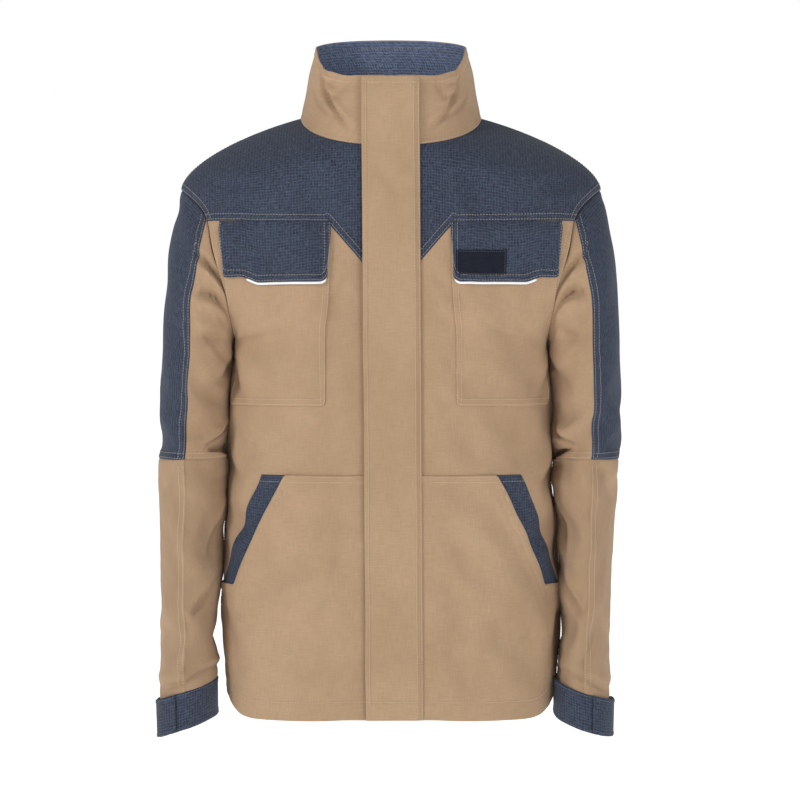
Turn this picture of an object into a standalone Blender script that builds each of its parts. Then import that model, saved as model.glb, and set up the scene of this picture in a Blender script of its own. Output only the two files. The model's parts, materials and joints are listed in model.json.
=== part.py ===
"""Two-tone work jacket with a stand collar, zipped up and keeping the shape it has on a body.

Metres, +Z up, -Y is the front and +X the wearer's left. Sizes below are measured from the middle of the hem;
every finished piece is then moved by FOOT, so that the origin is the middle of the foot of the jacket's box.
Every cloth piece is a thin closed shell cut from a base surface: the front, the back, the collar, the sleeve
or the cuff. All the pieces of a base surface share its flat triangles, so stacked layers keep their gaps.
The left side is modelled and the right side mirrors it.
"""

import math

import bmesh
import bpy
import numpy as np
from mathutils import Matrix, Vector

FOOT = np.array([0, 0.0050, 0.0300])

# Body, measured on the outside of the shell.
CHEST_HALF_WIDTH = 0.199
NECK_FRONT_Z, NECK_SIDE_Z, NECK_BACK_Z = 0.671, 0.709, 0.722
NECK_HALF_WIDTH, NECK_FRONT_Y, NECK_BACK_Y, NECK_SIDE_Y = 0.1074, -0.0894, 0.088, 0.004
RIM_FRONT_Z, RIM_SIDE_Z, RIM_BACK_Z = 0.7506, 0.796, 0.8105
RIM_HALF_WIDTH, RIM_BACK_Y = 0.0924, 0.080
HEM_FRONT_Y, HEM_BACK_Y = -0.124, 0.116
HEM_SIDE_RISE = 0.030
SHOULDER_X, SHOULDER_Z = 0.2515, 0.620
ARMPIT_X, ARMPIT_Z = 0.187, 0.440
ARMHOLE_DEPTH, ARMHOLE_SCOOP = 0.078, 0.016
ELBOW_Z = 0.300
WAIST_SEAM_Z = 0.283
YOKE_Z, YOKE_POINT_Z, YOKE_CORNER_X, BACK_YOKE_Z = 0.580, 0.503, 0.075, 0.568
CUFF_TOP_Z, CUFF_HEIGHT, CUFF_TILT = 0.014, 0.044, 0.034

# Layers, as heights of a piece's inner face above the shell, and how thick each piece is.
CLOTH = 0.0012
LINING_OFFSET = -0.0032
FACING_OFFSET, LOWER_FRONT_OFFSET = 0.0005, 0.0019
POCKET_OFFSET, LOOP_OFFSET, HOOK_OFFSET, FLAP_OFFSET = 0.0006, 0.0021, 0.0029, 0.0037
HOOK_THICKNESS = 0.0005
SEAM_GAP = 0.0006

# Zip and storm flap, all along the straight centre front.
ZIP_BOTTOM_Z, ZIP_TOP_Z = 0.026, 0.742
TEETH_HALF_WIDTH, TOOTH_PITCH = 0.004, 0.016
FLAP_FREE_X, FLAP_SEWN_X = -0.036, 0.038
STORM_FLAP_OUT = 0.0042

# Each base surface's lattice, and how finely its curves are worked out first.
TORSO_COLUMNS, TORSO_ROWS = 12, 20
SLEEVE_COLUMNS, SLEEVE_ROWS = 16, 14
COLLAR_COLUMNS, COLLAR_ROWS = 14, 2
CUFF_COLUMNS = 24
ARMPIT_V, NECK_V = 0.60, 0.85
FINE = 160

TAN = (0.467, 0.310, 0.191)
NAVY = (0.065, 0.076, 0.112)
PALE = (0.80, 0.80, 0.80)
DARK = (0.03, 0.035, 0.05)
METAL = (0.35, 0.35, 0.36)


# ---------------------------------------------------------------- curves and base surfaces


def spline(knots, values, at):
    """A smooth curve through values at knots, read at the given places."""
    knots, values, at = np.asarray(knots, float), np.asarray(values, float), np.asarray(at, float)
    slopes = np.gradient(values, knots)
    i = np.clip(np.searchsorted(knots, at, side="right") - 1, 0, len(knots) - 2)
    width = knots[i + 1] - knots[i]
    t = (at - knots[i]) / width
    rise = t * t * (3 - 2 * t)
    return (
        values[i] * (1 - rise)
        + values[i + 1] * rise
        + width * (slopes[i] * t * (1 - t) ** 2 - slopes[i + 1] * t * t * (1 - t))
    )


def smooth(low, high, x):
    t = np.clip((x - low) / (high - low), 0, 1)
    return t * t * (3 - 2 * t)


FRONT_SLOPE = (NECK_FRONT_Y - HEM_FRONT_Y) / NECK_FRONT_Z


def centre_y(face, z):
    """The centre front is straight, so that the zip can slide. The centre back follows the spine."""
    if face < 0:
        return HEM_FRONT_Y + FRONT_SLOPE * z
    heights = [0, 0.15, 0.30, 0.44, 0.56, 0.65, NECK_BACK_Z]
    return spline(heights, [HEM_BACK_Y, 0.112, 0.108, 0.116, 0.119, 0.108, NECK_BACK_Y], z)


def neckline(turn):
    """The seam round the neck: turn is 0 at the centre front, 90 degrees at the side and 180 at the back."""
    c, s = np.cos(turn), np.sin(turn)
    front = c > 0
    y_end = np.where(front, NECK_FRONT_Y, NECK_BACK_Y)
    z_end = np.where(front, NECK_FRONT_Z, NECK_BACK_Z)
    x = NECK_HALF_WIDTH * s**0.85
    y = NECK_SIDE_Y + (y_end - NECK_SIDE_Y) * np.abs(c) ** 0.85
    z = NECK_SIDE_Z + (z_end - NECK_SIDE_Z) * np.abs(c)
    return np.stack([x, y, z], -1)


def rim(turn):
    """The collar's top edge: level across the front, then a quick rise to the side."""
    c, s = np.cos(turn), np.sin(turn)
    front = c > 0
    y_end = np.where(front, centre_y(-1, RIM_FRONT_Z), RIM_BACK_Y)
    x = RIM_HALF_WIDTH * s**0.8
    y = NECK_SIDE_Y + (y_end - NECK_SIDE_Y) * np.abs(c) ** 0.8
    front_z = RIM_FRONT_Z + (RIM_SIDE_Z - RIM_FRONT_Z) * smooth(0.45, 1.05, 1 - c)
    back_z = RIM_SIDE_Z + (RIM_BACK_Z - RIM_SIDE_Z) * np.abs(c)
    return np.stack([x, y, np.where(front, front_z, back_z)], -1)


def armhole(turn, face):
    """The seam round the armhole: turn is 0 at the shoulder's tip and 180 degrees at the armpit."""
    c, s = np.cos(turn), np.sin(turn)
    x = (SHOULDER_X + ARMPIT_X) / 2 + (SHOULDER_X - ARMPIT_X) / 2 * c - ARMHOLE_SCOOP * s**1.5
    z = (SHOULDER_Z + ARMPIT_Z) / 2 + (SHOULDER_Z - ARMPIT_Z) / 2 * c
    return np.stack([x, face * ARMHOLE_DEPTH * s, z], -1)


def torso_quarter(face):
    """Fine points of the left front (face -1) or left back (+1): rows up, columns from the centre out."""
    v = np.linspace(0, 1, FINE + 1)
    neck_z = NECK_FRONT_Z if face < 0 else NECK_BACK_Z
    centre_z = spline([0, ARMPIT_V, NECK_V], [0, 0.46, neck_z], np.minimum(v, NECK_V))
    turn = np.clip((v - NECK_V) / (1 - NECK_V), 0, 1) * math.pi / 2
    ring = neckline(turn if face < 0 else math.pi - turn)
    centre = np.stack([0 * v, centre_y(face, centre_z), centre_z], -1)
    centre = np.where((v > NECK_V)[:, None], ring, centre)
    side_z = HEM_SIDE_RISE + (ARMPIT_Z - HEM_SIDE_RISE) * np.minimum(v / ARMPIT_V, 1)
    heights = [0, 0.10, 0.20, 0.30, 0.38, ARMPIT_Z]
    side_x = spline(heights, [0.195, CHEST_HALF_WIDTH, 0.197, 0.193, 0.190, ARMPIT_X], side_z)
    side = np.stack([side_x, 0 * v, side_z], -1)
    hole = armhole(math.pi * (1 - np.clip((v - ARMPIT_V) / (1 - ARMPIT_V), 0, 1)), face)
    side = np.where((v > ARMPIT_V)[:, None], hole, side)

    u = np.linspace(0, math.pi / 2, 4 * FINE)[None, :]
    power = (0.80 + 0.14 * smooth(0.2, 1.0, v))[:, None]
    along, across = np.sin(u) ** power, np.clip(np.cos(u), 0, 1) ** power
    x = centre[:, :1] + (side[:, :1] - centre[:, :1]) * along
    y = side[:, 1:2] + (centre[:, 1:2] - side[:, 1:2]) * across
    round_drop = 0.3 * along + 0.7 * (1 - np.sqrt(np.clip(1 - along**2, 0, 1)))
    steep = smooth(0.62, 1.0, v)[:, None]
    hem_drop = smooth(0.45, 1.0, along) * (1 - smooth(0, 0.35, v)[:, None])
    drop = round_drop * steep + (1 - steep) * (along * smooth(0, 0.35, v)[:, None] + hem_drop)
    z = centre[:, 2:] + (side[:, 2:] - centre[:, 2:]) * drop
    fullness = (0.011 if face < 0 else 0.006) * np.exp(-(((v - 0.66) / 0.16) ** 2))[:, None]
    y = y + face * fullness * np.sin(math.pi * np.clip((along - 0.15) / 0.85, 0, 1)) ** 2
    return even_columns(np.stack([x, y, z], -1), FINE + 1)


def even_columns(points, columns):
    """The same rows of points, with the columns spread evenly along each row."""
    steps = np.linalg.norm(np.diff(points, axis=1), axis=2)
    length = np.concatenate([np.zeros((len(points), 1)), np.cumsum(steps, 1)], 1)
    out = np.empty((len(points), columns, 3))
    for row, (line, at) in enumerate(zip(points, length, strict=True)):
        places = np.linspace(0, at[-1], columns)
        for axis in range(3):
            out[row, :, axis] = np.interp(places, at, line[:, axis])
    return out


def collar_half():
    """Fine points of the left half of the collar: columns from the centre front round to the centre back."""
    turn = np.linspace(0, math.pi, 2 * FINE)
    share = np.linspace(0, 1, 2 * COLLAR_ROWS + 1)[:, None, None]
    return even_columns(neckline(turn) * (1 - share) + rim(turn) * share, FINE + 1)


# Rings down the left sleeve: outer x, outer z, inner x, inner z, middle y, half depth.
SLEEVE_RINGS = (
    (SHOULDER_X, SHOULDER_Z, ARMPIT_X, ARMPIT_Z, 0.000, ARMHOLE_DEPTH),
    (0.2555, 0.598, 0.1900, 0.4315, 0.000, 0.0790),
    (0.2616, 0.565, 0.1935, 0.418, 0.001, 0.0795),
    (0.2675, 0.525, 0.1965, 0.402, 0.002, 0.0795),
    (0.2725, 0.475, 0.1990, 0.383, 0.004, 0.0790),
    (0.2755, 0.425, 0.2005, 0.362, 0.005, 0.0775),
    (0.2768, 0.375, 0.2018, 0.340, 0.006, 0.0755),
    (0.2768, 0.335, 0.2028, 0.319, 0.006, 0.0735),
    (0.2768, ELBOW_Z, 0.2035, ELBOW_Z, 0.005, 0.0720),
    (0.2760, 0.260, 0.2040, 0.260, 0.000, 0.0690),
    (0.2745, 0.210, 0.2045, 0.210, -0.008, 0.0655),
    (0.2730, 0.160, 0.2050, 0.160, -0.016, 0.0615),
    (0.2720, 0.110, 0.2055, 0.110, -0.024, 0.0570),
    (0.2700, 0.057, 0.2060, 0.068, -0.031, 0.0520),
    (0.2670, 0.008, 0.2065, 0.040, -0.036, 0.0480),
)
ELBOW_RING = 8


def ring_point(outer_x, outer_z, inner_x, inner_z, middle_y, depth, turn):
    """Points of one sleeve ring: turn is 90 degrees at the front, 0 at the outside, -90 at the back."""
    c, s = np.cos(turn), np.sin(turn)
    rounding = np.abs(c) ** 0.92 * np.sign(c)
    x = (outer_x + inner_x) / 2 + (outer_x - inner_x) / 2 * rounding
    z = (outer_z + inner_z) / 2 + (outer_z - inner_z) / 2 * c
    return np.stack([x, middle_y - depth * np.abs(s) ** 0.92 * np.sign(s), z], -1)


def sleeve():
    """Fine points of the left sleeve: rows down, columns round by the front, outside, back and inside."""
    rings = np.array(SLEEVE_RINGS)
    knots = np.arange(len(rings), dtype=float)
    at = np.linspace(0, knots[-1], FINE + 1)
    rows = np.stack([spline(knots, rings[:, k], at) for k in range(6)], -1)
    turn = math.pi / 2 - np.linspace(0, 2 * math.pi, 2 * FINE + 1)
    points = ring_point(*[rows[:, k : k + 1] for k in range(6)], turn[None, :])
    scoop = ARMHOLE_SCOOP * np.clip(1 - at / 3, 0, 1)[:, None] ** 2
    points[..., 0] -= scoop * np.abs(np.sin(turn[None, :])) ** 1.5
    return points


class Surface:
    """A base surface: a lattice of points and normals whose cells are each cut into two flat triangles.

    A place on it is (s, v), with s along the rows and v across them, both from 0 to 1.
    """

    def __init__(self, fine, rows, columns, outward):
        i = np.linspace(0, fine.shape[0] - 1, rows + 1).round().astype(int)
        j = np.linspace(0, fine.shape[1] - 1, columns + 1).round().astype(int)
        normals = np.cross(np.gradient(fine, axis=1), np.gradient(fine, axis=0)) * outward
        self.rows, self.columns = rows, columns
        self.points = fine[np.ix_(i, j)]
        self.normals = normals[np.ix_(i, j)]
        self.unit()
        self.lengths = np.linalg.norm(np.diff(self.points, axis=1), axis=2).sum(1)

    def unit(self):
        self.normals /= np.linalg.norm(self.normals, axis=2, keepdims=True)

    def level(self, row):
        """Turns a row's normals level, so that an edge cut there is flat underneath."""
        self.normals[row, :, 2] = 0
        self.unit()

    def face_middle(self, column, row):
        """Turns a column's normals into the middle plane, up to this row, so that mirrored halves meet."""
        self.normals[: row + 1, column, 0] = 0
        self.unit()

    def read(self, table, s, v):
        y = np.clip(v, 0, 1) * self.rows
        x = np.clip(s, 0, 1) * self.columns
        i = np.minimum(y.astype(int), self.rows - 1)
        j = np.minimum(x.astype(int), self.columns - 1)
        p = (y - i)[..., None]
        q = (x - j)[..., None]
        low, high = table[i, j], table[i + 1, j + 1]
        below = low + (table[i, j + 1] - low) * q + (high - table[i, j + 1]) * p
        above = low + (table[i + 1, j] - low) * p + (high - table[i + 1, j]) * q
        return np.where(q >= p, below, above)

    def at(self, s, v, height):
        return self.read(self.points, s, v) + self.read(self.normals, s, v) * height

    def find(self, distance, z):
        """(s, v) of the points that lie this far from the centre along their row, at this z."""
        distance, z = np.broadcast_arrays(np.asarray(distance, float), np.asarray(z, float))
        v = z / 0.8
        for _ in range(60):
            s = np.clip(distance / np.interp(v, np.linspace(0, 1, self.rows + 1), self.lengths), 0, 1)
            v = np.clip(v + (z - self.read(self.points, s, v)[..., 2]) * 0.8, 0, 1)
        return s, v

    def find_height(self, s, z):
        """v of the points of column s that lie at this z."""
        s, z = np.broadcast_arrays(np.asarray(s, float), np.asarray(z, float))
        v = z / 0.8
        for _ in range(60):
            v = np.clip(v + (z - self.read(self.points, s, v)[..., 2]) * 0.8, 0, 1)
        return v


# ---------------------------------------------------------------- making objects


def clear_scene():
    for obj in list(bpy.data.objects):
        bpy.data.objects.remove(obj)


def material(name, colour, roughness, metallic=0.0):
    made = bpy.data.materials.new(name)
    made.use_nodes = True
    shader = made.node_tree.nodes["Principled BSDF"]
    shader.inputs["Base Color"].default_value = (*colour, 1)
    shader.inputs["Roughness"].default_value = roughness
    shader.inputs["Metallic"].default_value = metallic
    return made


def add_object(name, points, faces, look, mirror=False):
    """A named mesh object. A mirrored copy is turned over, so that its faces still point out."""
    points = np.array(points, float)
    if mirror:
        points[:, 0] *= -1
        faces = [face[::-1] for face in faces]
    mesh = bpy.data.meshes.new(name)
    mesh.from_pydata((points + FOOT).tolist(), [], [list(face) for face in faces])
    bm = bmesh.new()
    bm.from_mesh(mesh)
    bmesh.ops.recalc_face_normals(bm, faces=bm.faces)
    bm.to_mesh(mesh)
    bm.free()
    mesh.materials.append(look)
    obj = bpy.data.objects.new(name, mesh)
    bpy.context.scene.collection.objects.link(obj)
    mesh.shade_smooth()
    mesh.set_sharp_from_angle(angle=math.radians(35))
    return obj


def inside(outline, s, v):
    """Whether a place lies inside a closed outline."""
    hit = False
    for (s0, v0), (s1, v1) in zip(outline, outline[1:] + outline[:1], strict=True):
        if (v0 > v) != (v1 > v) and s < s0 + (s1 - s0) * (v - v0) / (v1 - v0):
            hit = not hit
    return hit


def cut_lattice(surface, outline):
    """The surface's triangles cut along an outline in (s, v): places, and faces as their numbers."""
    bm = bmesh.new()
    rows, columns = surface.rows, surface.columns
    s_all, v_all = zip(*outline, strict=True)
    i0, i1 = math.floor(min(v_all) * rows), math.ceil(max(v_all) * rows)
    j0, j1 = math.floor(min(s_all) * columns), math.ceil(max(s_all) * columns)
    grid = {}
    for i in range(i0, i1 + 1):
        for j in range(j0, j1 + 1):
            grid[i, j] = bm.verts.new((j / columns, i / rows, 0))
    for i in range(i0, i1):
        for j in range(j0, j1):
            a, b, c, d = grid[i, j], grid[i, j + 1], grid[i + 1, j + 1], grid[i + 1, j]
            bm.faces.new((a, b, c))
            bm.faces.new((a, c, d))
    for (s0, v0), (s1, v1) in zip(outline, outline[1:] + outline[:1], strict=True):
        geometry = bm.verts[:] + bm.edges[:] + bm.faces[:]
        across = Vector((v1 - v0, s0 - s1, 0)).normalized()
        bmesh.ops.bisect_plane(bm, geom=geometry, dist=2e-5, plane_co=(s0, v0, 0), plane_no=across)
    outside = [face for face in bm.faces if not inside(outline, *face.calc_center_median()[:2])]
    bmesh.ops.delete(bm, geom=outside, context="FACES")
    bm.verts.index_update()
    places = np.array([vert.co[:2] for vert in bm.verts])
    faces = [tuple(vert.index for vert in face.verts) for face in bm.faces]
    bm.free()
    return places, faces


def shell(name, outer, inner, faces, look, mirror=False):
    """A closed shell between two sheets of points that share their faces."""
    count = len(outer)
    edges = {(face[k - 1], face[k]) for face in faces for k in range(len(face))}
    rim = [(a, b) for a, b in edges if (b, a) not in edges]
    sides = [(b, a, count + a, count + b) for a, b in rim]
    under = [tuple(count + k for k in face[::-1]) for face in faces]
    return add_object(name, np.concatenate([outer, inner]), faces + under + sides, look, mirror)


def lay(name, surface, outline, offset, look, mirror=False, thickness=CLOTH, both=False):
    """A cloth piece on a base surface, from its outline in (s, v); both joins it to its mirror image."""
    places, faces = cut_lattice(surface, outline)
    outer = surface.at(places[:, 0], places[:, 1], offset + thickness)
    inner = surface.at(places[:, 0], places[:, 1], offset)
    if both:
        outer, inner, faces = with_mirror_image(outer, inner, faces)
    return shell(name, outer, inner, faces, look, mirror)


def with_mirror_image(outer, inner, faces):
    """Adds the mirror image of a sheet, joined to it along the middle plane."""
    count = len(outer)
    joined = np.abs(outer[:, 0]) < 1e-6
    other = np.where(joined, np.arange(count), count + np.cumsum(~joined) - 1)
    flip = np.array([-1, 1, 1])
    outer = np.concatenate([outer, outer[~joined] * flip])
    inner = np.concatenate([inner, inner[~joined] * flip])
    return outer, inner, faces + [tuple(int(other[k]) for k in face[::-1]) for face in faces]


def at_heights(surface, corners):
    """An outline in (s, v) from corners given as distance round from the centre front and height."""
    distance, z = np.array(corners).T
    s, v = surface.find(distance, z)
    return list(zip(s.tolist(), v.tolist(), strict=True))


FRONT_LENGTH = math.hypot(1, FRONT_SLOPE)
FRONT_ALONG = Vector((0, FRONT_SLOPE, 1)) / FRONT_LENGTH
FRONT_OUT = Vector((0, -1, FRONT_SLOPE)) / FRONT_LENGTH


def front_point(x, z, out):
    """A point by the straight centre front: x to the side, at height z, this far out from it."""
    return Vector((x, HEM_FRONT_Y + FRONT_SLOPE * z, z)) + FRONT_OUT * out


def front_plate(name, outline, low, high, look):
    """A flat plate by the centre front: outline holds (x, z) corners, low and high are its two faces."""
    count = len(outline)
    points = [front_point(x, z, high) for x, z in outline] + [front_point(x, z, low) for x, z in outline]
    faces = [tuple(range(count)), tuple(range(2 * count - 1, count - 1, -1))]
    faces += [(k, count + k, count + (k + 1) % count, (k + 1) % count) for k in range(count)]
    return add_object(name, points, faces, look)


def box_outline(x0, x1, z0, z1):
    return [(x0, z0), (x1, z0), (x1, z1), (x0, z1)]


# ---------------------------------------------------------------- torso pieces

SIDES = (("left", False), ("right", True))
ZIP_S, SIDE_S = 0.034, 0.997
TOP_V = 0.998


def yoke_seam(surface, shift):
    """Places along the front yoke's lower edge: a point by the storm flap, then level to the armhole."""
    corner, _ = surface.find(YOKE_CORNER_X, YOKE_Z)
    s = np.array([ZIP_S, float(corner), 0.45, 0.65, 0.85, SIDE_S])
    z = np.array([YOKE_POINT_Z] + 5 * [YOKE_Z]) + shift
    return list(zip(s.tolist(), surface.find_height(s, z).tolist(), strict=True))


def make_fronts(surface, tan, navy):
    """The tan front panel runs from the yoke to the hem, and the navy yoke closes it to the shoulder seam."""
    for side, mirror in SIDES:
        panel = [(ZIP_S, 0), (SIDE_S, 0), *yoke_seam(surface, -SEAM_GAP)[::-1]]
        lay(f"{side}_front_panel", surface, panel, -CLOTH, tan, mirror)
        neck = [(0.006, TOP_V), (0.006, NECK_V + 0.02), (ZIP_S, NECK_V)]
        yoke = [*yoke_seam(surface, SEAM_GAP), (SIDE_S, TOP_V), *neck]
        lay(f"{side}_front_yoke", surface, yoke, -CLOTH, navy, mirror)


def make_back(surface, tan, navy):
    """One tan back panel from the hem to the yoke, and one navy yoke over both shoulders."""
    s = np.array([0.0, 0.25, 0.5, 0.75, SIDE_S])
    seam = surface.find_height(s, BACK_YOKE_Z)
    gap = SEAM_GAP / 0.8
    low = list(zip(s.tolist(), (seam - gap).tolist(), strict=True))
    high = list(zip(s.tolist(), (seam + gap).tolist(), strict=True))
    lay("back_panel", surface, [(0, 0), (SIDE_S, 0), *low[::-1]], -CLOTH, tan, both=True)
    neck = [(0.006, TOP_V), (0.006, NECK_V + 0.02), (0, NECK_V)]
    lay("back_yoke", surface, [*high, (SIDE_S, TOP_V), *neck], -CLOTH, navy, both=True)


# Distance from the centre front and height of the hand pocket's slanted mouth, from its top to its foot.
MOUTH_TOP, MOUTH_FOOT = (0.128, WAIST_SEAM_Z), (0.208, 0.152)
FACING_WIDTH = 0.033


def make_lower_fronts(surface, tan, navy):
    """The lower front lies over the front panel and makes the hand pocket; its slanted edge is the mouth."""
    for side, mirror in SIDES:
        foot, mouth, near = at_heights(surface, [MOUTH_FOOT, MOUTH_TOP, (0.009, WAIST_SEAM_Z)])
        outline = [(ZIP_S, 0), (SIDE_S, 0), (SIDE_S, foot[1] - 0.012), foot, mouth, (ZIP_S, near[1])]
        lay(f"{side}_lower_front", surface, outline, LOWER_FRONT_OFFSET, tan, mirror, 0.0010)
        (top, top_z), (low, low_z) = MOUTH_TOP, MOUTH_FOOT
        corners = [(low - 0.014, low_z), (low + FACING_WIDTH, low_z)]
        corners += [(top + FACING_WIDTH, top_z), (top - 0.012, top_z)]
        outline = at_heights(surface, corners)
        lay(f"{side}_pocket_facing", surface, outline, FACING_OFFSET, navy, mirror, 0.0008)


def rectangle(near, far, low, high):
    return [(near, low), (far, low), (far, high), (near, high)]


CHEST_POCKET = (0.077, 0.212, 0.363, 0.566)
CHEST_FLAP = (0.075, 0.214, 0.508, 0.579)
POCKET_TAPE = (0.112, 0.162, 0.522, 0.542)


def make_chest_pockets(surface, tan, look):
    """A patch pocket on each side of the chest, with the loop tape its flap closes on."""
    for side, mirror in SIDES:
        pocket = at_heights(surface, rectangle(*CHEST_POCKET))
        lay(f"{side}_chest_pocket", surface, pocket, POCKET_OFFSET, tan, mirror)
        tape = at_heights(surface, rectangle(*POCKET_TAPE))
        lay(f"{side}_pocket_loop", surface, tape, LOOP_OFFSET, look, mirror, HOOK_THICKNESS)


def make_chest_flaps(surface, navy, pale, look):
    """Each flap hangs from the yoke seam, with a pale cord in its lower edge and hook tape behind it."""
    near, far, low, high = CHEST_FLAP
    corners = [(near + 0.006, low + 0.001), (near + 0.082, low), (far - 0.004, low + 0.005)]
    corners += [(far, low + 0.012), (far, high), (near, high)]
    piping = rectangle(near + 0.008, near + 0.080, low - 0.0034, low - 0.0004)
    for side, mirror in SIDES:
        lay(f"{side}_chest_flap", surface, at_heights(surface, corners), FLAP_OFFSET, navy, mirror)
        outline = at_heights(surface, piping)
        lay(f"{side}_flap_piping", surface, outline, FLAP_OFFSET, pale, mirror, 0.0016)
        tape = at_heights(surface, rectangle(*POCKET_TAPE))
        lay(f"{side}_flap_hook", surface, tape, HOOK_OFFSET, look, mirror, HOOK_THICKNESS)


LABEL = (0.083, 0.147, 0.516, 0.545)


def make_label(surface, look):
    """A plain flat badge on the left flap: both of its faces are planes."""
    near, far, low, high = LABEL
    s, v = surface.find(np.linspace(near, far, 9)[None, :], np.linspace(low, high, 5)[:, None])
    below = surface.at(s, v, FLAP_OFFSET + CLOTH)
    ends = Vector(below[2, 0]), Vector(below[2, -1])
    across = Vector((ends[1].x - ends[0].x, ends[1].y - ends[0].y, 0)).normalized()
    out = across.cross(Vector((0, 0, 1)))
    middle = (ends[0] + ends[1]) / 2
    clear = max((Vector(point) - middle).dot(out) for point in below.reshape(-1, 3)) + 0.0004
    half_width, half_height = (far - near) / 2, (high - low) / 2
    corners = []
    for side, up in ((-1, -1), (1, -1), (1, 1), (-1, 1)):
        corners.append(middle + across * side * half_width + Vector((0, 0, up * half_height)) + out * clear)
    inner = np.array(corners)
    outer = inner + np.array(out) * 0.0008
    return shell("chest_label", outer, inner, [(0, 1, 2, 3)], look)


# ---------------------------------------------------------------- collar, hanger and closure


def make_collar(surface, tan, navy):
    """A tan stand collar with a navy lining, both open at the zip."""
    stand = [(0.031, 0.014), (1, 0.014), (1, 1), (0.031, 1)]
    lay("collar", surface, stand, -CLOTH, tan, both=True)
    lining = [(0.080, 0.04), (1, 0.04), (1, 0.98), (0.080, 0.98)]
    lay("collar_lining", surface, lining, LINING_OFFSET, navy, both=True)


HANGER_HALF, HANGER_DROP = 0.034, 0.010


def make_hanger_loop(look):
    """A strip across the inside of the back of the neck, standing off in the middle for a hook."""
    top = NECK_BACK_Z + 0.020
    inside_y = NECK_BACK_Y - 0.0100
    stations = [(HANGER_HALF, 0.0), (HANGER_HALF - 0.010, 0.0), (HANGER_HALF - 0.018, 0.008)]
    path = [(-x, off) for x, off in stations] + [(x, off) for x, off in stations[::-1]]
    outer = np.array([(x, inside_y - off, top - HANGER_DROP * k) for k in (0, 1) for x, off in path])
    count = len(path)
    faces = [(k, k + 1, count + k + 1, count + k) for k in range(count - 1)]
    return shell("hanger_loop", outer, outer + np.array([0, 0.0015, 0]), faces, look)


def comb(side):
    """Outline of one row of zip teeth: a spine with a tooth at each pitch, half a pitch from the other row."""
    spine, root, tip = side * TEETH_HALF_WIDTH, side * 0.0016, side * -0.0012
    start = ZIP_BOTTOM_Z + 0.001 + (0 if side > 0 else TOOTH_PITCH / 2)
    outline = [(spine, ZIP_BOTTOM_Z), (root, ZIP_BOTTOM_Z)]
    for k in range(int((ZIP_TOP_Z - start) / TOOTH_PITCH)):
        z = start + k * TOOTH_PITCH
        outline += [(root, z), (tip, z + 0.0006), (tip, z + 0.0064), (root, z + 0.0070)]
    return [*outline, (root, ZIP_TOP_Z), (spine, ZIP_TOP_Z)]


def make_zip(navy, metal):
    """Tapes, interlocked teeth and the box at the foot. The slider and its pull are bodies of their own."""
    for sign, side in ((1, "left"), (-1, "right")):
        near, far = sorted((sign * 0.0043, sign * 0.0145))
        front_plate(f"{side}_zip_tape", rectangle(near, far, 0.012, ZIP_TOP_Z), -0.0040, -0.0032, navy)
        front_plate(f"{side}_zip_teeth", comb(sign), -0.0034, -0.0010, metal)
    front_plate("zip_retainer_box", rectangle(-0.0040, 0.0040, 0.013, 0.025), -0.0036, 0.0002, metal)


SLIDER_TOP_Z, SLIDER_LENGTH = 0.738, 0.016


def make_slider(metal):
    """The slider's front plate with a flange down each side, and the pull that hangs from its lug."""
    low, high = SLIDER_TOP_Z - SLIDER_LENGTH, SLIDER_TOP_Z
    half = [(0.0016, 0.0030), (0.0016, 0.0013), (0.0062, 0.0012), (0.0062, -0.0015)]
    half += [(0.0046, -0.0015), (0.0046, -0.0006)]
    profile = half + [(-x, out) for x, out in half[::-1]]
    count = len(profile)
    points = [front_point(x, z, out) for z in (low, high) for x, out in profile]
    faces = [tuple(range(count)), tuple(range(2 * count - 1, count - 1, -1))]
    faces += [(k, count + k, count + (k + 1) % count, (k + 1) % count) for k in range(count)]
    add_object("zip_slider", points, faces, metal)
    z = low - 0.0008
    half = [(0.0040, z), (0.0030, z - 0.026), (0.0015, z - 0.030)]
    front_plate("zip_pull", half + [(-x, at) for x, at in half[::-1]], 0.0016, 0.0026, metal)


def make_storm_flap(surface, tan, look):
    """The flap over the zip, from hem to collar, with hook tape behind its free edge and loop tape below."""
    flap = rectangle(FLAP_FREE_X, FLAP_SEWN_X, 0.0, RIM_FRONT_Z)
    front_plate("storm_flap", flap, STORM_FLAP_OUT, STORM_FLAP_OUT + CLOTH, tan)
    low, high = 0.300, 0.640
    tape = rectangle(-0.033, -0.015, low, high)
    front_plate("storm_flap_hook", tape, STORM_FLAP_OUT - 0.0007, STORM_FLAP_OUT - 0.0003, look)
    near = rectangle(0.014, 0.032, low, high)
    lay("storm_flap_loop", surface, at_heights(surface, near), 0.0004, look, True, 0.0005)


# ---------------------------------------------------------------- sleeves


def make_sleeves(surface, tan, navy):
    """Upper and lower sleeve, each with an outer and an under panel, parted at the elbow."""
    elbow = ELBOW_RING / (len(SLEEVE_RINGS) - 1)
    panels = (
        ("upper_sleeve", 0.004, 0.496, 0.012, elbow - 0.002, navy),
        ("under_sleeve", 0.504, 0.996, 0.012, elbow - 0.002, tan),
        ("lower_sleeve", 0.004, 0.496, elbow + 0.002, 1, tan),
        ("lower_under_sleeve", 0.504, 0.996, elbow + 0.002, 1, tan),
    )
    for side, mirror in SIDES:
        for name, s0, s1, v0, v1, look in panels:
            lay(f"{side}_{name}", surface, rectangle(s0, s1, v0, v1), -CLOTH, look, mirror)


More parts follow.
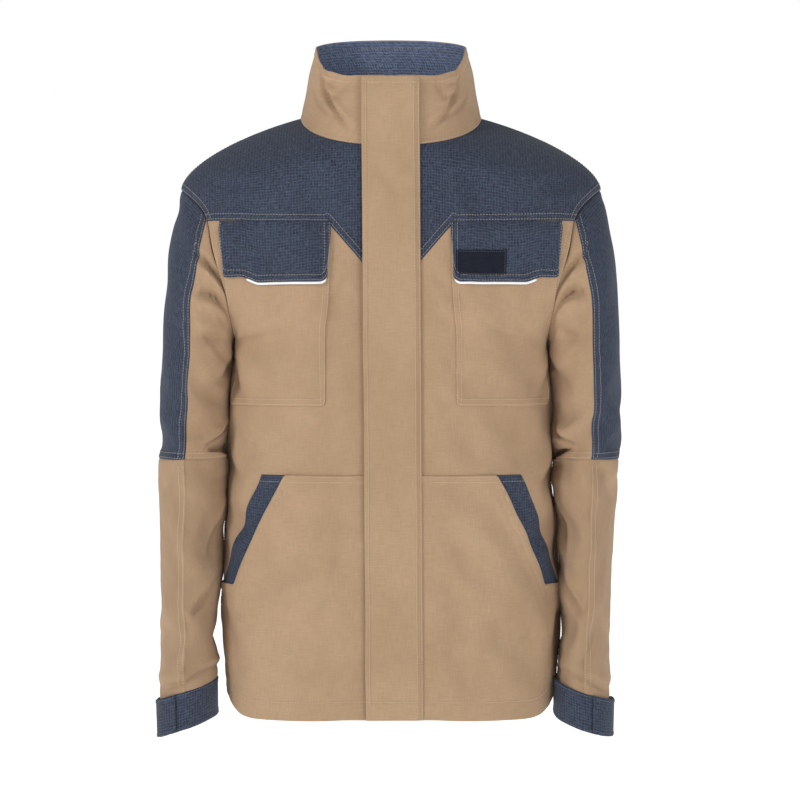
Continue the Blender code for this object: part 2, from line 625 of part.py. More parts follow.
def cuff_ring(start):
    """The cuff's band, a little larger than the sleeve's end and lower on the outside, from this turn on."""
    turn = start - np.linspace(0, 2 * math.pi, CUFF_COLUMNS * 8 + 1)
    rows = []
    for share in np.linspace(0, 1, 3):
        outer_z, inner_z = CUFF_TOP_Z - CUFF_HEIGHT * share, CUFF_TOP_Z + CUFF_TILT - CUFF_HEIGHT * share
        rows.append(ring_point(0.2740, outer_z, 0.2010, inner_z, -0.0355 - 0.004 * share, 0.0540, turn))
    return Surface(np.array(rows), 1, CUFF_COLUMNS, -1)


def make_cuffs(navy, look):
    """A band with an overlapping tab over its slit. Loop tape on the band meets hook tape under the tab."""
    band = cuff_ring(math.radians(60))
    front = cuff_ring(math.radians(90))
    for side, mirror in SIDES:
        lay(f"{side}_cuff", band, rectangle(0.010, 0.990, 0, 1), -CLOTH, navy, mirror)
        lay(f"{side}_cuff_tab", front, rectangle(0.040, 0.290, 0.04, 0.96), 0.0022, navy, mirror)
        tape = rectangle(0.190, 0.280, 0.25, 0.75)
        lay(f"{side}_cuff_loop", front, tape, 0.0004, look, mirror, HOOK_THICKNESS)
        lay(f"{side}_cuff_hook", front, tape, 0.0013, look, mirror, HOOK_THICKNESS)


# ---------------------------------------------------------------- joint axes

# Points on the joints' axes, measured like the sizes above.
SHOULDER_PIVOT = (SHOULDER_X, 0.0, SHOULDER_Z)
ELBOW_PIVOT = (0.240, -0.0685, ELBOW_Z)
TAB_PIVOT = (0.2484, -0.0919, 0.005)
STORM_FLAP_PIVOT = front_point(FLAP_SEWN_X - 0.0005, RIM_FRONT_Z / 2, STORM_FLAP_OUT)
POCKET_FLAP_PIVOT = (0.1356, -0.0981, CHEST_FLAP[3] + 0.0005)
SLIDER_PIVOT = front_point(0, SLIDER_TOP_Z - SLIDER_LENGTH, 0)
PULL_PIVOT = front_point(0, SLIDER_TOP_Z - SLIDER_LENGTH - 0.0007, 0.0021)

ARM_PIECES = ("upper_sleeve", "under_sleeve")
FOREARM_PIECES = ("lower_sleeve", "lower_under_sleeve", "cuff", "cuff_loop")
TAB_PIECES = ("cuff_tab", "cuff_hook")
FLAP_PIECES = ("chest_flap", "flap_piping", "flap_hook")


def pivot(name, place, pieces, mirror=False, parent=None):
    """An empty on a joint's axis that carries the pieces which move there."""
    place = Vector(place) + Vector(FOOT)
    if mirror:
        place.x = -place.x
    empty = bpy.data.objects.new(name, None)
    bpy.context.scene.collection.objects.link(empty)
    empty.location = place
    if parent:
        empty.parent = parent
        empty.location = place - parent.matrix_world.translation
    bpy.context.view_layer.update()
    for piece in pieces:
        obj = bpy.data.objects[piece]
        obj.parent = empty
        obj.matrix_parent_inverse = Matrix.Translation(-place)
    return empty


def side_names(side, pieces):
    return [f"{side}_{piece}" for piece in pieces]


def hang_moving_pieces():
    for side, mirror in SIDES:
        flap_pieces = side_names(side, FLAP_PIECES)
        if not mirror:
            flap_pieces.append("chest_label")
        arm = pivot(f"{side}_shoulder_pivot", SHOULDER_PIVOT, side_names(side, ARM_PIECES), mirror)
        forearm = pivot(f"{side}_elbow_pivot", ELBOW_PIVOT, side_names(side, FOREARM_PIECES), mirror, arm)
        pivot(f"{side}_tab_pivot", TAB_PIVOT, side_names(side, TAB_PIECES), mirror, forearm)
        pivot(f"{side}_pocket_flap_pivot", POCKET_FLAP_PIVOT, flap_pieces, mirror)
    pivot("storm_flap_pivot", STORM_FLAP_PIVOT, ["storm_flap", "storm_flap_hook"])
    slider = pivot("slider_pivot", SLIDER_PIVOT, ["zip_slider"])
    pivot("pull_pivot", PULL_PIVOT, ["zip_pull"], parent=slider)


def main():
    clear_scene()
    tan = material("tan canvas", TAN, 0.85)
    navy = material("navy ripstop", NAVY, 0.85)
    pale = material("pale piping", PALE, 0.45)
    dark = material("hook and loop", DARK, 0.95)
    metal = material("zip metal", METAL, 0.4, 0.8)
    front = Surface(torso_quarter(-1), TORSO_ROWS, TORSO_COLUMNS, 1)
    back = Surface(torso_quarter(1), TORSO_ROWS, TORSO_COLUMNS, -1)
    front.level(0)
    back.level(0)
    back.face_middle(0, round(NECK_V * TORSO_ROWS))
    collar = Surface(collar_half(), COLLAR_ROWS, COLLAR_COLUMNS, 1)
    collar.level(COLLAR_ROWS)
    collar.face_middle(COLLAR_COLUMNS, COLLAR_ROWS)
    arm = Surface(sleeve(), SLEEVE_ROWS, SLEEVE_COLUMNS, -1)
    make_fronts(front, tan, navy)
    make_back(back, tan, navy)
    make_lower_fronts(front, tan, navy)
    make_chest_pockets(front, tan, dark)
    make_chest_flaps(front, navy, pale, dark)
    make_label(front, dark)
    make_collar(collar, tan, navy)
    make_hanger_loop(navy)
    make_zip(navy, metal)
    make_slider(metal)
    make_storm_flap(front, tan, dark)
    make_sleeves(arm, tan, navy)
    make_cuffs(navy, dark)
    hang_moving_pieces()


main()
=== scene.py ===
"""The visual model of the two-tone work jacket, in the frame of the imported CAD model.

The cloth is worked out on base surfaces: four torso quarters, two sleeves and the collar. Each settles as a
slightly oversized sheet, so that it buckles into soft folds. Every piece is then a thin sheet laid on one of
them, with its own edges, seams and thread. Metres, +Z up, -Y front, measured from the middle of the hem.
"""

import json
import math

import bpy
import numpy as np
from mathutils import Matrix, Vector


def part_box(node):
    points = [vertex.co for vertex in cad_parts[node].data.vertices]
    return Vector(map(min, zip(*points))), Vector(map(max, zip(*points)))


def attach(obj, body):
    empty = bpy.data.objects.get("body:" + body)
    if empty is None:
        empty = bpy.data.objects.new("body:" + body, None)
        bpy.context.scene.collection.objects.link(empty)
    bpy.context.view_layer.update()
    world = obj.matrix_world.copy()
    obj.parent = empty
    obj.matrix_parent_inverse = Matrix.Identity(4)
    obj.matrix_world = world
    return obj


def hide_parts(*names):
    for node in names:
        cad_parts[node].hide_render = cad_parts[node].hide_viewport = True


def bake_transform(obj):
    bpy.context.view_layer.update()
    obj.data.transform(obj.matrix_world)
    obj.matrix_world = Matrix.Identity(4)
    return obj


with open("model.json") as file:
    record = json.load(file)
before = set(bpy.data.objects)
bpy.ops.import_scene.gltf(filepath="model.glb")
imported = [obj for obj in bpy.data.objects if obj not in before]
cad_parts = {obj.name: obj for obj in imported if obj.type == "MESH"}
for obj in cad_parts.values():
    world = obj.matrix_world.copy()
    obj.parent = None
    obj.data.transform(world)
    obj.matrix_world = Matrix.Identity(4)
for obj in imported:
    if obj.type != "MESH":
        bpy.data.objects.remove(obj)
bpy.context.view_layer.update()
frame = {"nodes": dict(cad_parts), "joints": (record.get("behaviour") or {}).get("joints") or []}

# ---------------------------------------------------------------- driving sizes, from the frame

JOINTS = {joint["name"]: joint for joint in frame["joints"]}
HEM_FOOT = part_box("back_panel")[0].z
FOOT = np.array([0, 0.0050, HEM_FOOT])


def from_frame(point):
    """A point of the frame in this script's own measure."""
    return np.array(point, float) - FOOT


SHOULDER = from_frame(JOINTS["left_sleeve_raise"]["pos_m"])
ELBOW = from_frame(JOINTS["left_elbow_bend"]["pos_m"])
TAB_HINGE = from_frame(JOINTS["left_cuff_tab_open"]["pos_m"])

CHEST_HALF_WIDTH = 0.199
NECK_FRONT_Z, NECK_SIDE_Z, NECK_BACK_Z = 0.668, 0.706, 0.721
NECK_HALF_WIDTH, NECK_FRONT_Y, NECK_BACK_Y, NECK_SIDE_Y = 0.1074, -0.0894, 0.088, 0.004
RIM_FRONT_Z, RIM_SIDE_Z, RIM_BACK_Z = 0.7500, 0.7925, 0.8090
RIM_HALF_WIDTH, RIM_BACK_Y = 0.0898, 0.080
HEM_FRONT_Y, HEM_BACK_Y = -0.124, 0.116
HEM_SIDE_RISE = 0.030
SHOULDER_X, SHOULDER_Z = SHOULDER[0], SHOULDER[2]
ARMPIT_X, ARMPIT_Z = 0.187, 0.440
ARMHOLE_DEPTH, ARMHOLE_SCOOP, HIGH_SCOOP = 0.078, 0.014, 0.012
ELBOW_Z = ELBOW[2]
WAIST_SEAM_Z = 0.283
YOKE_Z, YOKE_POINT_Z, YOKE_CORNER_X, BACK_YOKE_Z = 0.580, 0.503, 0.075, 0.568
CUFF_TOP_Z, CUFF_HEIGHT, CUFF_TILT = 0.014, 0.044, 0.027
FLAP_FREE_X, FLAP_SEWN_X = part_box("storm_flap")[0].x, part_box("storm_flap")[1].x
ZIP_EDGE = 0.0075
# How far each wrist hangs over towards the wearer's right.
SWAY = {"left": 0.010, "right": 0.005}

CLOTH = 0.0009
HEM_WIDTH, SEAM_WIDTH, TURN_WIDTH = 0.021, 0.0095, 0.006
ARMPIT_V, NECK_V = 0.60, 0.85
SIDES = (("left", 1), ("right", -1))
RANDOM = np.random.default_rng(20)

# The sheets' usual spacing, and the rows and columns of one torso quarter, one sleeve and half the collar.
STEP = 0.0030
TORSO_GRID = (121, 49)
SLEEVE_GRID = (101, 65)
COLLAR_GRID = (41, 161)
# Settling: how many rounds, and how far the cloth sinks in each.
ROUNDS, SAG = 220, 1.5e-5


# ---------------------------------------------------------------- curves and base surfaces


def spline(knots, values, at):
    """A smooth curve through values at knots, read at the given places."""
    knots, values, at = np.asarray(knots, float), np.asarray(values, float), np.asarray(at, float)
    slopes = np.gradient(values, knots)
    i = np.clip(np.searchsorted(knots, at, side="right") - 1, 0, len(knots) - 2)
    width = knots[i + 1] - knots[i]
    t = (at - knots[i]) / width
    rise = t * t * (3 - 2 * t)
    return (
        values[i] * (1 - rise)
        + values[i + 1] * rise
        + width * (slopes[i] * t * (1 - t) ** 2 - slopes[i + 1] * t * t * (1 - t))
    )


def smooth(low, high, x):
    t = np.clip((x - low) / (high - low), 0, 1)
    return t * t * (3 - 2 * t)


def bump(middle, width, x):
    return np.exp(-(((x - middle) / width) ** 2))


def corner(distance, radius):
    """How far a rounded corner rises at this distance from the end of an edge."""
    return radius * (1 - np.sqrt(np.clip(1 - np.clip(1 - distance / radius, 0, 1) ** 2, 0, 1)))


def unit(vectors):
    return vectors / np.maximum(np.linalg.norm(vectors, axis=-1, keepdims=True), 1e-9)


def run_lengths(points, axis=0):
    """Distances along lines of points, from 0 at each first point."""
    steps = np.linalg.norm(np.diff(points, axis=axis), axis=-1)
    return np.concatenate([0 * steps.take([0], axis), np.cumsum(steps, axis)], axis)


def read_line(places, at, table):
    """A table whose rows lie at the distances at, read at other places."""
    return np.stack([np.interp(places, at, column) for column in table.T], -1)


FRONT_SLOPE = (NECK_FRONT_Y - HEM_FRONT_Y) / NECK_FRONT_Z


def centre_y(face, z):
    """The centre front is straight, so that the zip can slide. The centre back follows the spine."""
    if face < 0:
        return HEM_FRONT_Y + FRONT_SLOPE * z
    heights = [0, 0.15, 0.30, 0.44, 0.56, 0.65, NECK_BACK_Z]
    return spline(heights, [HEM_BACK_Y, 0.112, 0.108, 0.116, 0.119, 0.108, NECK_BACK_Y], z)


def neckline(turn):
    """The seam round the neck: turn is 0 at the centre front, 90 degrees at the side and 180 at the back."""
    c, s = np.cos(turn), np.sin(turn)
    front = c > 0
    y_end = np.where(front, NECK_FRONT_Y, NECK_BACK_Y)
    z_end = np.where(front, NECK_FRONT_Z, NECK_BACK_Z)
    x = NECK_HALF_WIDTH * s**0.85
    y = NECK_SIDE_Y + (y_end - NECK_SIDE_Y) * np.abs(c) ** 0.85
    z = NECK_SIDE_Z + (z_end - NECK_SIDE_Z) * np.abs(c)
    return np.stack([x, y, z], -1)


def rim(turn):
    """The collar's top edge: level across the front, a soft corner, then a steep rise to the side."""
    c, s = np.cos(turn), np.sin(turn)
    y_end = np.where(c > 0, centre_y(-1, RIM_FRONT_Z), RIM_BACK_Y)
    x = RIM_HALF_WIDTH * s**0.8
    y = NECK_SIDE_Y + (y_end - NECK_SIDE_Y) * np.abs(c) ** 0.8
    rise = 0.15 * smooth(0.10, 0.36, 1 - c) + 0.85 * smooth(0.30, 1.05, 1 - c)
    front_z = RIM_FRONT_Z + (RIM_SIDE_Z - RIM_FRONT_Z) * rise
    back_z = RIM_SIDE_Z + (RIM_BACK_Z - RIM_SIDE_Z) * np.abs(c)
    return np.stack([x, y, np.where(c > 0, front_z, back_z)], -1)


def scoop(turn):
    """How far the armhole curves in between the shoulder's tip and the armpit, most of it high up."""
    high = bump(math.radians(50), math.radians(24), np.arccos(np.cos(turn)))
    return ARMHOLE_SCOOP * np.abs(np.sin(turn)) ** 1.5 + HIGH_SCOOP * high


def armhole(turn, face):
    """The seam round the armhole: turn is 0 at the shoulder's tip and 180 degrees at the armpit."""
    c, s = np.cos(turn), np.sin(turn)
    x = (SHOULDER_X + ARMPIT_X) / 2 + (SHOULDER_X - ARMPIT_X) / 2 * c - scoop(turn)
    z = (SHOULDER_Z + ARMPIT_Z) / 2 + (SHOULDER_Z - ARMPIT_Z) / 2 * c
    return np.stack([x, face * ARMHOLE_DEPTH * s, z], -1)


def torso_quarter(face, rows, columns):
    """Points of the left front (face -1) or left back (+1): rows up, columns from the centre out."""
    v = np.linspace(0, 1, rows)
    neck_z = NECK_FRONT_Z if face < 0 else NECK_BACK_Z
    centre_z = spline([0, ARMPIT_V, NECK_V], [0, 0.46, neck_z], np.minimum(v, NECK_V))
    turn = np.clip((v - NECK_V) / (1 - NECK_V), 0, 1) * math.pi / 2
    ring = neckline(turn if face < 0 else math.pi - turn)
    centre = np.stack([0 * v, centre_y(face, centre_z), centre_z], -1)
    centre = np.where((v > NECK_V)[:, None], ring, centre)
    side_z = HEM_SIDE_RISE + (ARMPIT_Z - HEM_SIDE_RISE) * np.minimum(v / ARMPIT_V, 1)
    heights = [0, 0.10, 0.20, 0.30, 0.38, ARMPIT_Z]
    side_x = spline(heights, [0.195, CHEST_HALF_WIDTH, 0.197, 0.193, 0.190, ARMPIT_X], side_z)
    side = np.stack([side_x, 0 * v, side_z], -1)
    hole = armhole(math.pi * (1 - np.clip((v - ARMPIT_V) / (1 - ARMPIT_V), 0, 1)), face)
    side = np.where((v > ARMPIT_V)[:, None], hole, side)

    u = np.linspace(0, math.pi / 2, 640)[None, :]
    power = (0.80 + 0.14 * smooth(0.2, 1.0, v))[:, None]
    along, across = np.sin(u) ** power, np.clip(np.cos(u), 0, 1) ** power
    x = centre[:, :1] + (side[:, :1] - centre[:, :1]) * along
    y = side[:, 1:2] + (centre[:, 1:2] - side[:, 1:2]) * across
    round_drop = 0.45 * along + 0.55 * (1 - np.sqrt(np.clip(1 - along**2, 0, 1)))
    steep = smooth(0.62, 1.0, v)[:, None]
    hem_drop = np.clip((along - 0.72) / 0.28, 0, 1) ** 4.5 * (1 - smooth(0, 0.35, v)[:, None])
    drop = round_drop * steep + (1 - steep) * (along * smooth(0, 0.35, v)[:, None] + hem_drop)
    z = centre[:, 2:] + (side[:, 2:] - centre[:, 2:]) * drop
    fullness = (0.011 if face < 0 else 0.006) * np.exp(-(((v - 0.66) / 0.16) ** 2))[:, None]
    y = y + face * fullness * np.sin(math.pi * np.clip((along - 0.15) / 0.85, 0, 1)) ** 2
    return even_columns(np.stack([x, y, z], -1), columns)


def even_columns(points, columns):
    """The same rows of points, with the columns spread evenly along each row."""
    rows = zip(run_lengths(points, 1), points, strict=True)
    return np.array([read_line(np.linspace(0, at[-1], columns), at, row) for at, row in rows])


# Rings down the left sleeve: outer x, outer z, inner x, inner z, middle y, half depth.
SLEEVE_RINGS = (
    (SHOULDER_X, SHOULDER_Z, ARMPIT_X, ARMPIT_Z, 0.000, ARMHOLE_DEPTH),
    (0.2555, 0.598, 0.1900, 0.4315, 0.000, 0.0790),
    (0.2616, 0.565, 0.1935, 0.418, 0.001, 0.0795),
    (0.2675, 0.525, 0.1965, 0.402, 0.002, 0.0795),
    (0.2725, 0.475, 0.1990, 0.383, 0.004, 0.0790),
    (0.2755, 0.425, 0.2005, 0.362, 0.005, 0.0775),
    (0.2768, 0.375, 0.2018, 0.340, 0.006, 0.0755),
    (0.2768, 0.335, 0.2028, 0.319, 0.006, 0.0735),
    (0.2768, ELBOW_Z, 0.2035, ELBOW_Z, 0.005, 0.0720),
    (0.2760, 0.260, 0.2040, 0.260, 0.000, 0.0690),
    (0.2735, 0.210, 0.2045, 0.210, -0.008, 0.0655),
    (0.2715, 0.160, 0.2050, 0.160, -0.016, 0.0615),
    (0.2700, 0.110, 0.2052, 0.110, -0.024, 0.0570),
    (0.2680, 0.057, 0.2052, 0.068, -0.031, 0.0520),
    (0.2660, 0.008, 0.2052, 0.034, -0.036, 0.0490),
)
ELBOW_V = 8 / (len(SLEEVE_RINGS) - 1)


def ring_point(outer_x, outer_z, inner_x, inner_z, middle_y, depth, turn):
    """Points of one sleeve ring: turn is 90 degrees at the front, 0 at the outside, -90 at the back."""
    c, s = np.cos(turn), np.sin(turn)
    rounding = np.abs(c) ** 0.92 * np.sign(c)
    x = (outer_x + inner_x) / 2 + (outer_x - inner_x) / 2 * rounding
    z = (outer_z + inner_z) / 2 + (outer_z - inner_z) / 2 * c
    y = middle_y - depth * np.abs(s) ** 0.92 * np.sign(s)
    return np.stack(np.broadcast_arrays(x, y, z), -1)


def sleeve(rows, columns):
    """Points of the left sleeve: rows down, columns round by the front, outside, back and inside."""
    rings = np.array(SLEEVE_RINGS)
    knots = np.arange(len(rings), dtype=float)
    at = np.linspace(0, knots[-1], rows)
    values = np.stack([spline(knots, rings[:, k], at) for k in range(6)], -1)
    turn = math.pi / 2 - np.linspace(0, 2 * math.pi, columns)
    points = ring_point(*[values[:, k : k + 1] for k in range(6)], turn[None, :])
    points[..., 0] -= np.clip(1 - at / 3, 0, 1)[:, None] ** 2 * scoop(turn)[None, :]
    return points


def mirrored(points):
    return points * np.array([-1, 1, 1])


# ---------------------------------------------------------------- settling a sheet into folds


def noise(rows, columns, cells_up, cells_along, count=1):
    """Smooth random fields between about -1 and 1, one per sheet."""
    lattice = RANDOM.uniform(-1, 1, (count, cells_up + 3, cells_along + 3))
    return resample(resample(lattice, rows, 1, margin=True), columns, 2, margin=True)


def resample(values, count, axis, margin=False):
    """Values read at even places along one axis by a cubic curve. With margin, the end ones only guide it."""
    values = np.moveaxis(values, axis, 0)
    if not margin:
        values = np.concatenate([2 * values[:1] - values[1:2], values, 2 * values[-1:] - values[-2:-1]])
    at = np.linspace(1, len(values) - 2, count)
    i = np.minimum(at.astype(int), len(values) - 3)
    t = (at - i).reshape((-1,) + (1,) * (values.ndim - 1))
    p0, p1, p2, p3 = values[i - 1], values[i], values[i + 1], values[i + 2]
    out = p1 + 0.5 * t * (p2 - p0 + t * (2 * p0 - 5 * p1 + 4 * p2 - p3 + t * (3 * (p1 - p2) + p3 - p0)))
    return np.moveaxis(out, 0, axis)


def normals_of(points, outward):
    """Outward normals of grids of points."""
    return unit(np.cross(np.gradient(points, axis=-2), np.gradient(points, axis=-3)) * outward)


# Neighbours that keep their distance: steps up and along, and how stiffly.
LINKS = [(0, 1, 1.0), (1, 0, 1.0), (1, 1, 0.5), (1, -1, 0.5)]
LINKS += [(0, 2, 0.3), (2, 0, 0.3), (0, 5, 0.3), (5, 0, 0.3)]


def links(rows, columns):
    """Each kind of link in two sets that share no point, with the places of their first ends."""
    for di, dj, stiff in LINKS:
        i = np.arange(rows - di)
        j = np.arange(columns - dj) if dj >= 0 else np.arange(-dj, columns)
        for colour in (0, 1):
            if dj:
                yield di, dj, stiff, i, j[(j // abs(dj)) % 2 == colour]
            else:
                yield di, dj, stiff, i[(i // di) % 2 == colour], j


def settle(base, outward, slack_up, slack_along, hold, start, merge, most_out):
    """Lets sheets with a little too much cloth buckle while they cling softly to their base surface."""
    rows, columns = base.shape[1:3]
    normals = normals_of(base, outward)
    x = base + normals * start[..., None]
    work = []
    for di, dj, stiff, i, j in links(rows, columns):
        a = (slice(None), i[:, None], j[None, :])
        b = (slice(None), i[:, None] + di, j[None, :] + dj)
        slack = (slack_up * abs(di) + slack_along * abs(dj)) / (abs(di) + abs(dj))
        slack = np.broadcast_to(slack, hold.shape)[a]
        rest = np.linalg.norm(base[b] - base[a], axis=-1) * (1 + slack)
        work.append((a, b, rest, stiff))
    for _ in range(ROUNDS):
        for a, b, rest, stiff in work:
            d = x[b] - x[a]
            length = np.linalg.norm(d, axis=-1)
            move = d * (0.5 * stiff * (1 - rest / np.maximum(length, 1e-6)))[..., None]
            x[a] += move
            x[b] -= move
        x[..., 2] -= SAG
        x += (base - x) * hold[..., None]
        lift = ((x - base) * normals).sum(-1)
        x += normals * (np.clip(lift, -0.6 * most_out, most_out) - lift)[..., None]
        merge(x)
    for _ in range(3):
        inside = x[:, 1:-1, 1:-1]
        around = (x[:, 2:, 1:-1] + x[:, :-2, 1:-1] + x[:, 1:-1, 2:] + x[:, 1:-1, :-2]) / 4
        free = (1 - np.clip(4 * hold[:, 1:-1, 1:-1], 0, 1))[..., None]
        x[:, 1:-1, 1:-1] = inside + 0.6 * free * (around - inside)
    return x


class Surface:
    """A base surface read from a fine lattice: s runs along the rows and v across them, both 0 to 1."""

    def __init__(self, points, outward):
        self.points = points
        self.outward = outward
        self.rows, self.columns = points.shape[0] - 1, points.shape[1] - 1
        along, up = run_lengths(points, 1), run_lengths(points, 0)
        even = np.convolve(np.pad(along[:, -1], 12, mode="edge"), np.ones(25) / 25, "valid")
        below = 1 - smooth(0.48, 0.56, np.linspace(0, 1, self.rows + 1))
        self.lengths = along[:, -1] * (1 - below) + even * below
        self.height = up[-1].mean()
        self.closed = np.abs(points[:, 0] - points[:, -1]).max() < 1e-4
        self.set_normals()
        if not self.closed:
            along = np.abs(points[:, :1, 0]) + run_lengths(points[..., :2], 1)
            up = run_lengths(points[..., 1:], 0)
        self.cloth = np.stack([along, up], -1)

    def set_normals(self):
        self.normals = normals_of(self.points, self.outward)
        if self.closed:
            share_normals(self, self, 0, -1, self.rows + 1)

    def places(self):
        """v and s of the lattice's own points."""
        v, s = (np.linspace(0, 1, count + 1) for count in (self.rows, self.columns))
        return np.meshgrid(v, s, indexing="ij")

    def flipped(self, depth):
        """The same surface seen from its other side, this deep below it."""
        other = Surface(self.points - self.normals * depth, -self.outward)
        other.normals = -self.normals
        return other

    def press(self, creases):
        """Presses creases into the cloth: each runs from one (s, v) to another, with a width and a depth."""
        scale = np.array([self.lengths.mean(), self.height])
        v, s = self.places()
        lift = np.zeros(s.shape)
        for first, last, width, depth in creases:
            a, b = first * scale, last * scale
            reach = np.linalg.norm(b - a)
            along = (b - a) / reach
            for lap in (-1, 0, 1) if self.closed else (0,):
                place = np.stack([s + lap, v], -1) * scale - a
                t = (place @ along) / reach
                away = place @ np.array([-along[1], along[0]]) + 0.18 * reach * (t - 0.5) ** 2
                fade = np.clip(1 - (2 * t - 1) ** 2, 0, 1) ** 1.2
                lift += depth * fade * (0.5 * bump(-1.8 * width, 1.4 * width, away) - bump(0, width, away))
        self.points = self.points + self.normals * lift[..., None]
        self.set_normals()

    def read(self, table, s, v):
        y = np.clip(v, 0, 1) * self.rows
        x = (np.mod(s, 1) if self.closed else np.clip(s, 0, 1)) * self.columns
        i = np.minimum(y.astype(int), self.rows - 1)
        j = np.minimum(x.astype(int), self.columns - 1)
        p = (y - i)[..., None]
        q = (x - j)[..., None]
        low = table[i, j] * (1 - q) + table[i, j + 1] * q
        high = table[i + 1, j] * (1 - q) + table[i + 1, j + 1] * q
        return low * (1 - p) + high * p

    def at(self, s, v, height):
        return self.read(self.points, s, v) + self.read(self.normals, s, v) * np.asarray(height)[..., None]

    def distance(self, s, v):
        """How far a place lies from the centre along its row."""
        return s * np.interp(v, np.linspace(0, 1, self.rows + 1), self.lengths)

    def find(self, distance, z):
        """(s, v) of the points that lie this far from the centre along their row, at this z."""
        distance, z = np.broadcast_arrays(np.asarray(distance, float), np.asarray(z, float))
        v = z / 0.8
        for _ in range(50):
            s = np.clip(distance / self.distance(1, v), 0, 1)
            v = np.clip(v + (z - self.read(self.points, s, v)[..., 2]) * 0.8, 0, 1)
        return s, v

    def seam(self, s, height):
        """v along a seam whose height above the hem follows the distance from the centre."""
        v = np.full(np.shape(s), 0.5)
        for _ in range(60):
            v = np.clip(v + (height(self.distance(s, v)) - self.read(self.points, s, v)[..., 2]) * 0.8, 0, 1)
        return v


def share_normals(first, second, column, other_column, rows):
    """Gives two surfaces the same normals along the columns where they meet."""
    shared = unit(first.normals[:rows, column] + second.normals[:rows, other_column])
    first.normals[:rows, column] = second.normals[:rows, other_column] = shared


def settle_torso():
    """The four torso quarters, joined at the side seams and the centre back, as surfaces by name."""
    rows, columns = TORSO_GRID
    left_front, left_back = torso_quarter(-1, rows, columns), torso_quarter(1, rows, columns)
    base = np.array([left_front, left_back, mirrored(left_back), mirrored(left_front)])
    outward = np.array([1, -1, 1, -1])
    v = np.linspace(0, 1, rows)[None, :, None]
    s = np.linspace(0, 1, columns)[None, None, :]
    front = np.array([1, 0, 0, 1])[:, None, None]
    pull = 0.003 + 0.02 * bump(0, 0.04, v) + 0.3 * smooth(0.93, 1.0, v)
    pull = pull + front * 0.6 * (1 - smooth(0.12, 0.26, s))
    edge = smooth(0.90, 1.0, s) * smooth(0.55, 0.60, v)
    hold = np.clip(pull + edge + 0 * base[..., 0], 0, 1)
    hold[:, v[0, :, 0] >= ARMPIT_V - 0.01, -1] = 1
    hold[:, v[0, :, 0] >= NECK_V, 0] = 1
    hold[:, -1, :] = 1
    hold[0, :, 0] = hold[3, :, 0] = 1
    slack_up = 0.010 + 0.016 * bump(0.42, 0.20, v) * smooth(0.2, 0.9, s) + 0.016 * bump(0.62, 0.10, v) * s
    slack_along = 0.012 + 0.010 * bump(0.10, 0.15, v) + 0.016 * bump(0.64, 0.12, v) * smooth(0.5, 1, s)
    start = 0.0045 * noise(rows, columns, 8, 4, 4) + 0.0022 * noise(rows, columns, 17, 8, 4)
    side_rows = int(ARMPIT_V * (rows - 1)) + 1
    back_rows = int(NECK_V * (rows - 1)) + 1

    def merge(x):
        for front_at, back_at in ((0, 1), (3, 2)):
            shared = (x[front_at, :side_rows, -1] + x[back_at, :side_rows, -1]) / 2
            x[front_at, :side_rows, -1] = x[back_at, :side_rows, -1] = shared
        shared = (x[1, :back_rows, 0] + x[2, :back_rows, 0]) / 2
        shared[:, 0] = 0
        x[1, :back_rows, 0] = x[2, :back_rows, 0] = shared

    x = settle(base, outward[:, None, None, None], slack_up, slack_along, hold, start, merge, 0.007)
    x = resample(resample(x, 2 * rows - 1, 1), 2 * columns - 1, 2)
    names = ("left_front", "left_back", "right_back", "right_front")
    torso = {name: Surface(x[k], outward[k]) for k, name in enumerate(names)}
    for name, surface in torso.items():
        surface.press(varied(FRONT_CREASES if name.endswith("front") else BACK_CREASES, 0.02))
    share_normals(torso["left_back"], torso["right_back"], 0, 0, 2 * back_rows - 1)
    return torso


def settle_sleeves(torso):
    """Both sleeves, with spare cloth at the elbow and above the cuff, hanging against the body's sides."""
    rows, columns = SLEEVE_GRID
    left = sleeve(rows, columns)
    base = np.array([left, mirrored(left)])
    outward = np.array([-1, 1])[:, None, None, None]
    v = np.linspace(0, 1, rows)[None, :, None]
    s = np.linspace(0, 1, columns)[None, None, :]
    inner = 0.5 + 0.5 * np.cos(2 * math.pi * (s - 0.88))
    hold = 0.003 + 0.6 * (1 - smooth(0, 0.05, v)) + 0.5 * smooth(0.955, 0.995, v) + 0 * base[..., 0]
    calm = bump(0.25, 0.15, s) * smooth(0.55, 0.70, v) + bump(0.75, 0.15, s) * smooth(0.74, 0.82, v)
    hold += 0.014 * calm
    hold[:, 0] = hold[:, -1] = 1
    slack_up = 0.010 + 0.040 * bump(ELBOW_V, 0.13, v) * inner + 0.012 * bump(0.88, 0.06, v)
    slack_up += 0.024 * bump(0.16, 0.12, v) * inner
    slack_along = 0.014 + 0.014 * bump(0.30, 0.2, v)
    start = 0.0040 * noise(rows, columns, 8, 4, 2) + 0.0020 * noise(rows, columns, 17, 8, 2)

    def merge(x):
        x[:, :, 0] = x[:, :, -1] = (x[:, :, 0] + x[:, :, -1]) / 2

    x = settle(base, outward, slack_up, slack_along, hold, start, merge, 0.008)
    x = resample(resample(x, 3 * rows - 2, 1), 2 * columns - 1, 2)
    arms = {}
    for k, (side, sign) in enumerate(SIDES):
        x[k, ..., 0] -= SWAY[side] * smooth(0.3, 1.0, np.linspace(0, 1, x.shape[1]))[:, None]
        arms[side] = gather_wrist(Surface(x[k], -sign))
        arms[side].press(varied(SLEEVE_CREASES, 0.006))
        lean_on_body(arms[side], torso[f"{side}_front"], sign)
    return arms


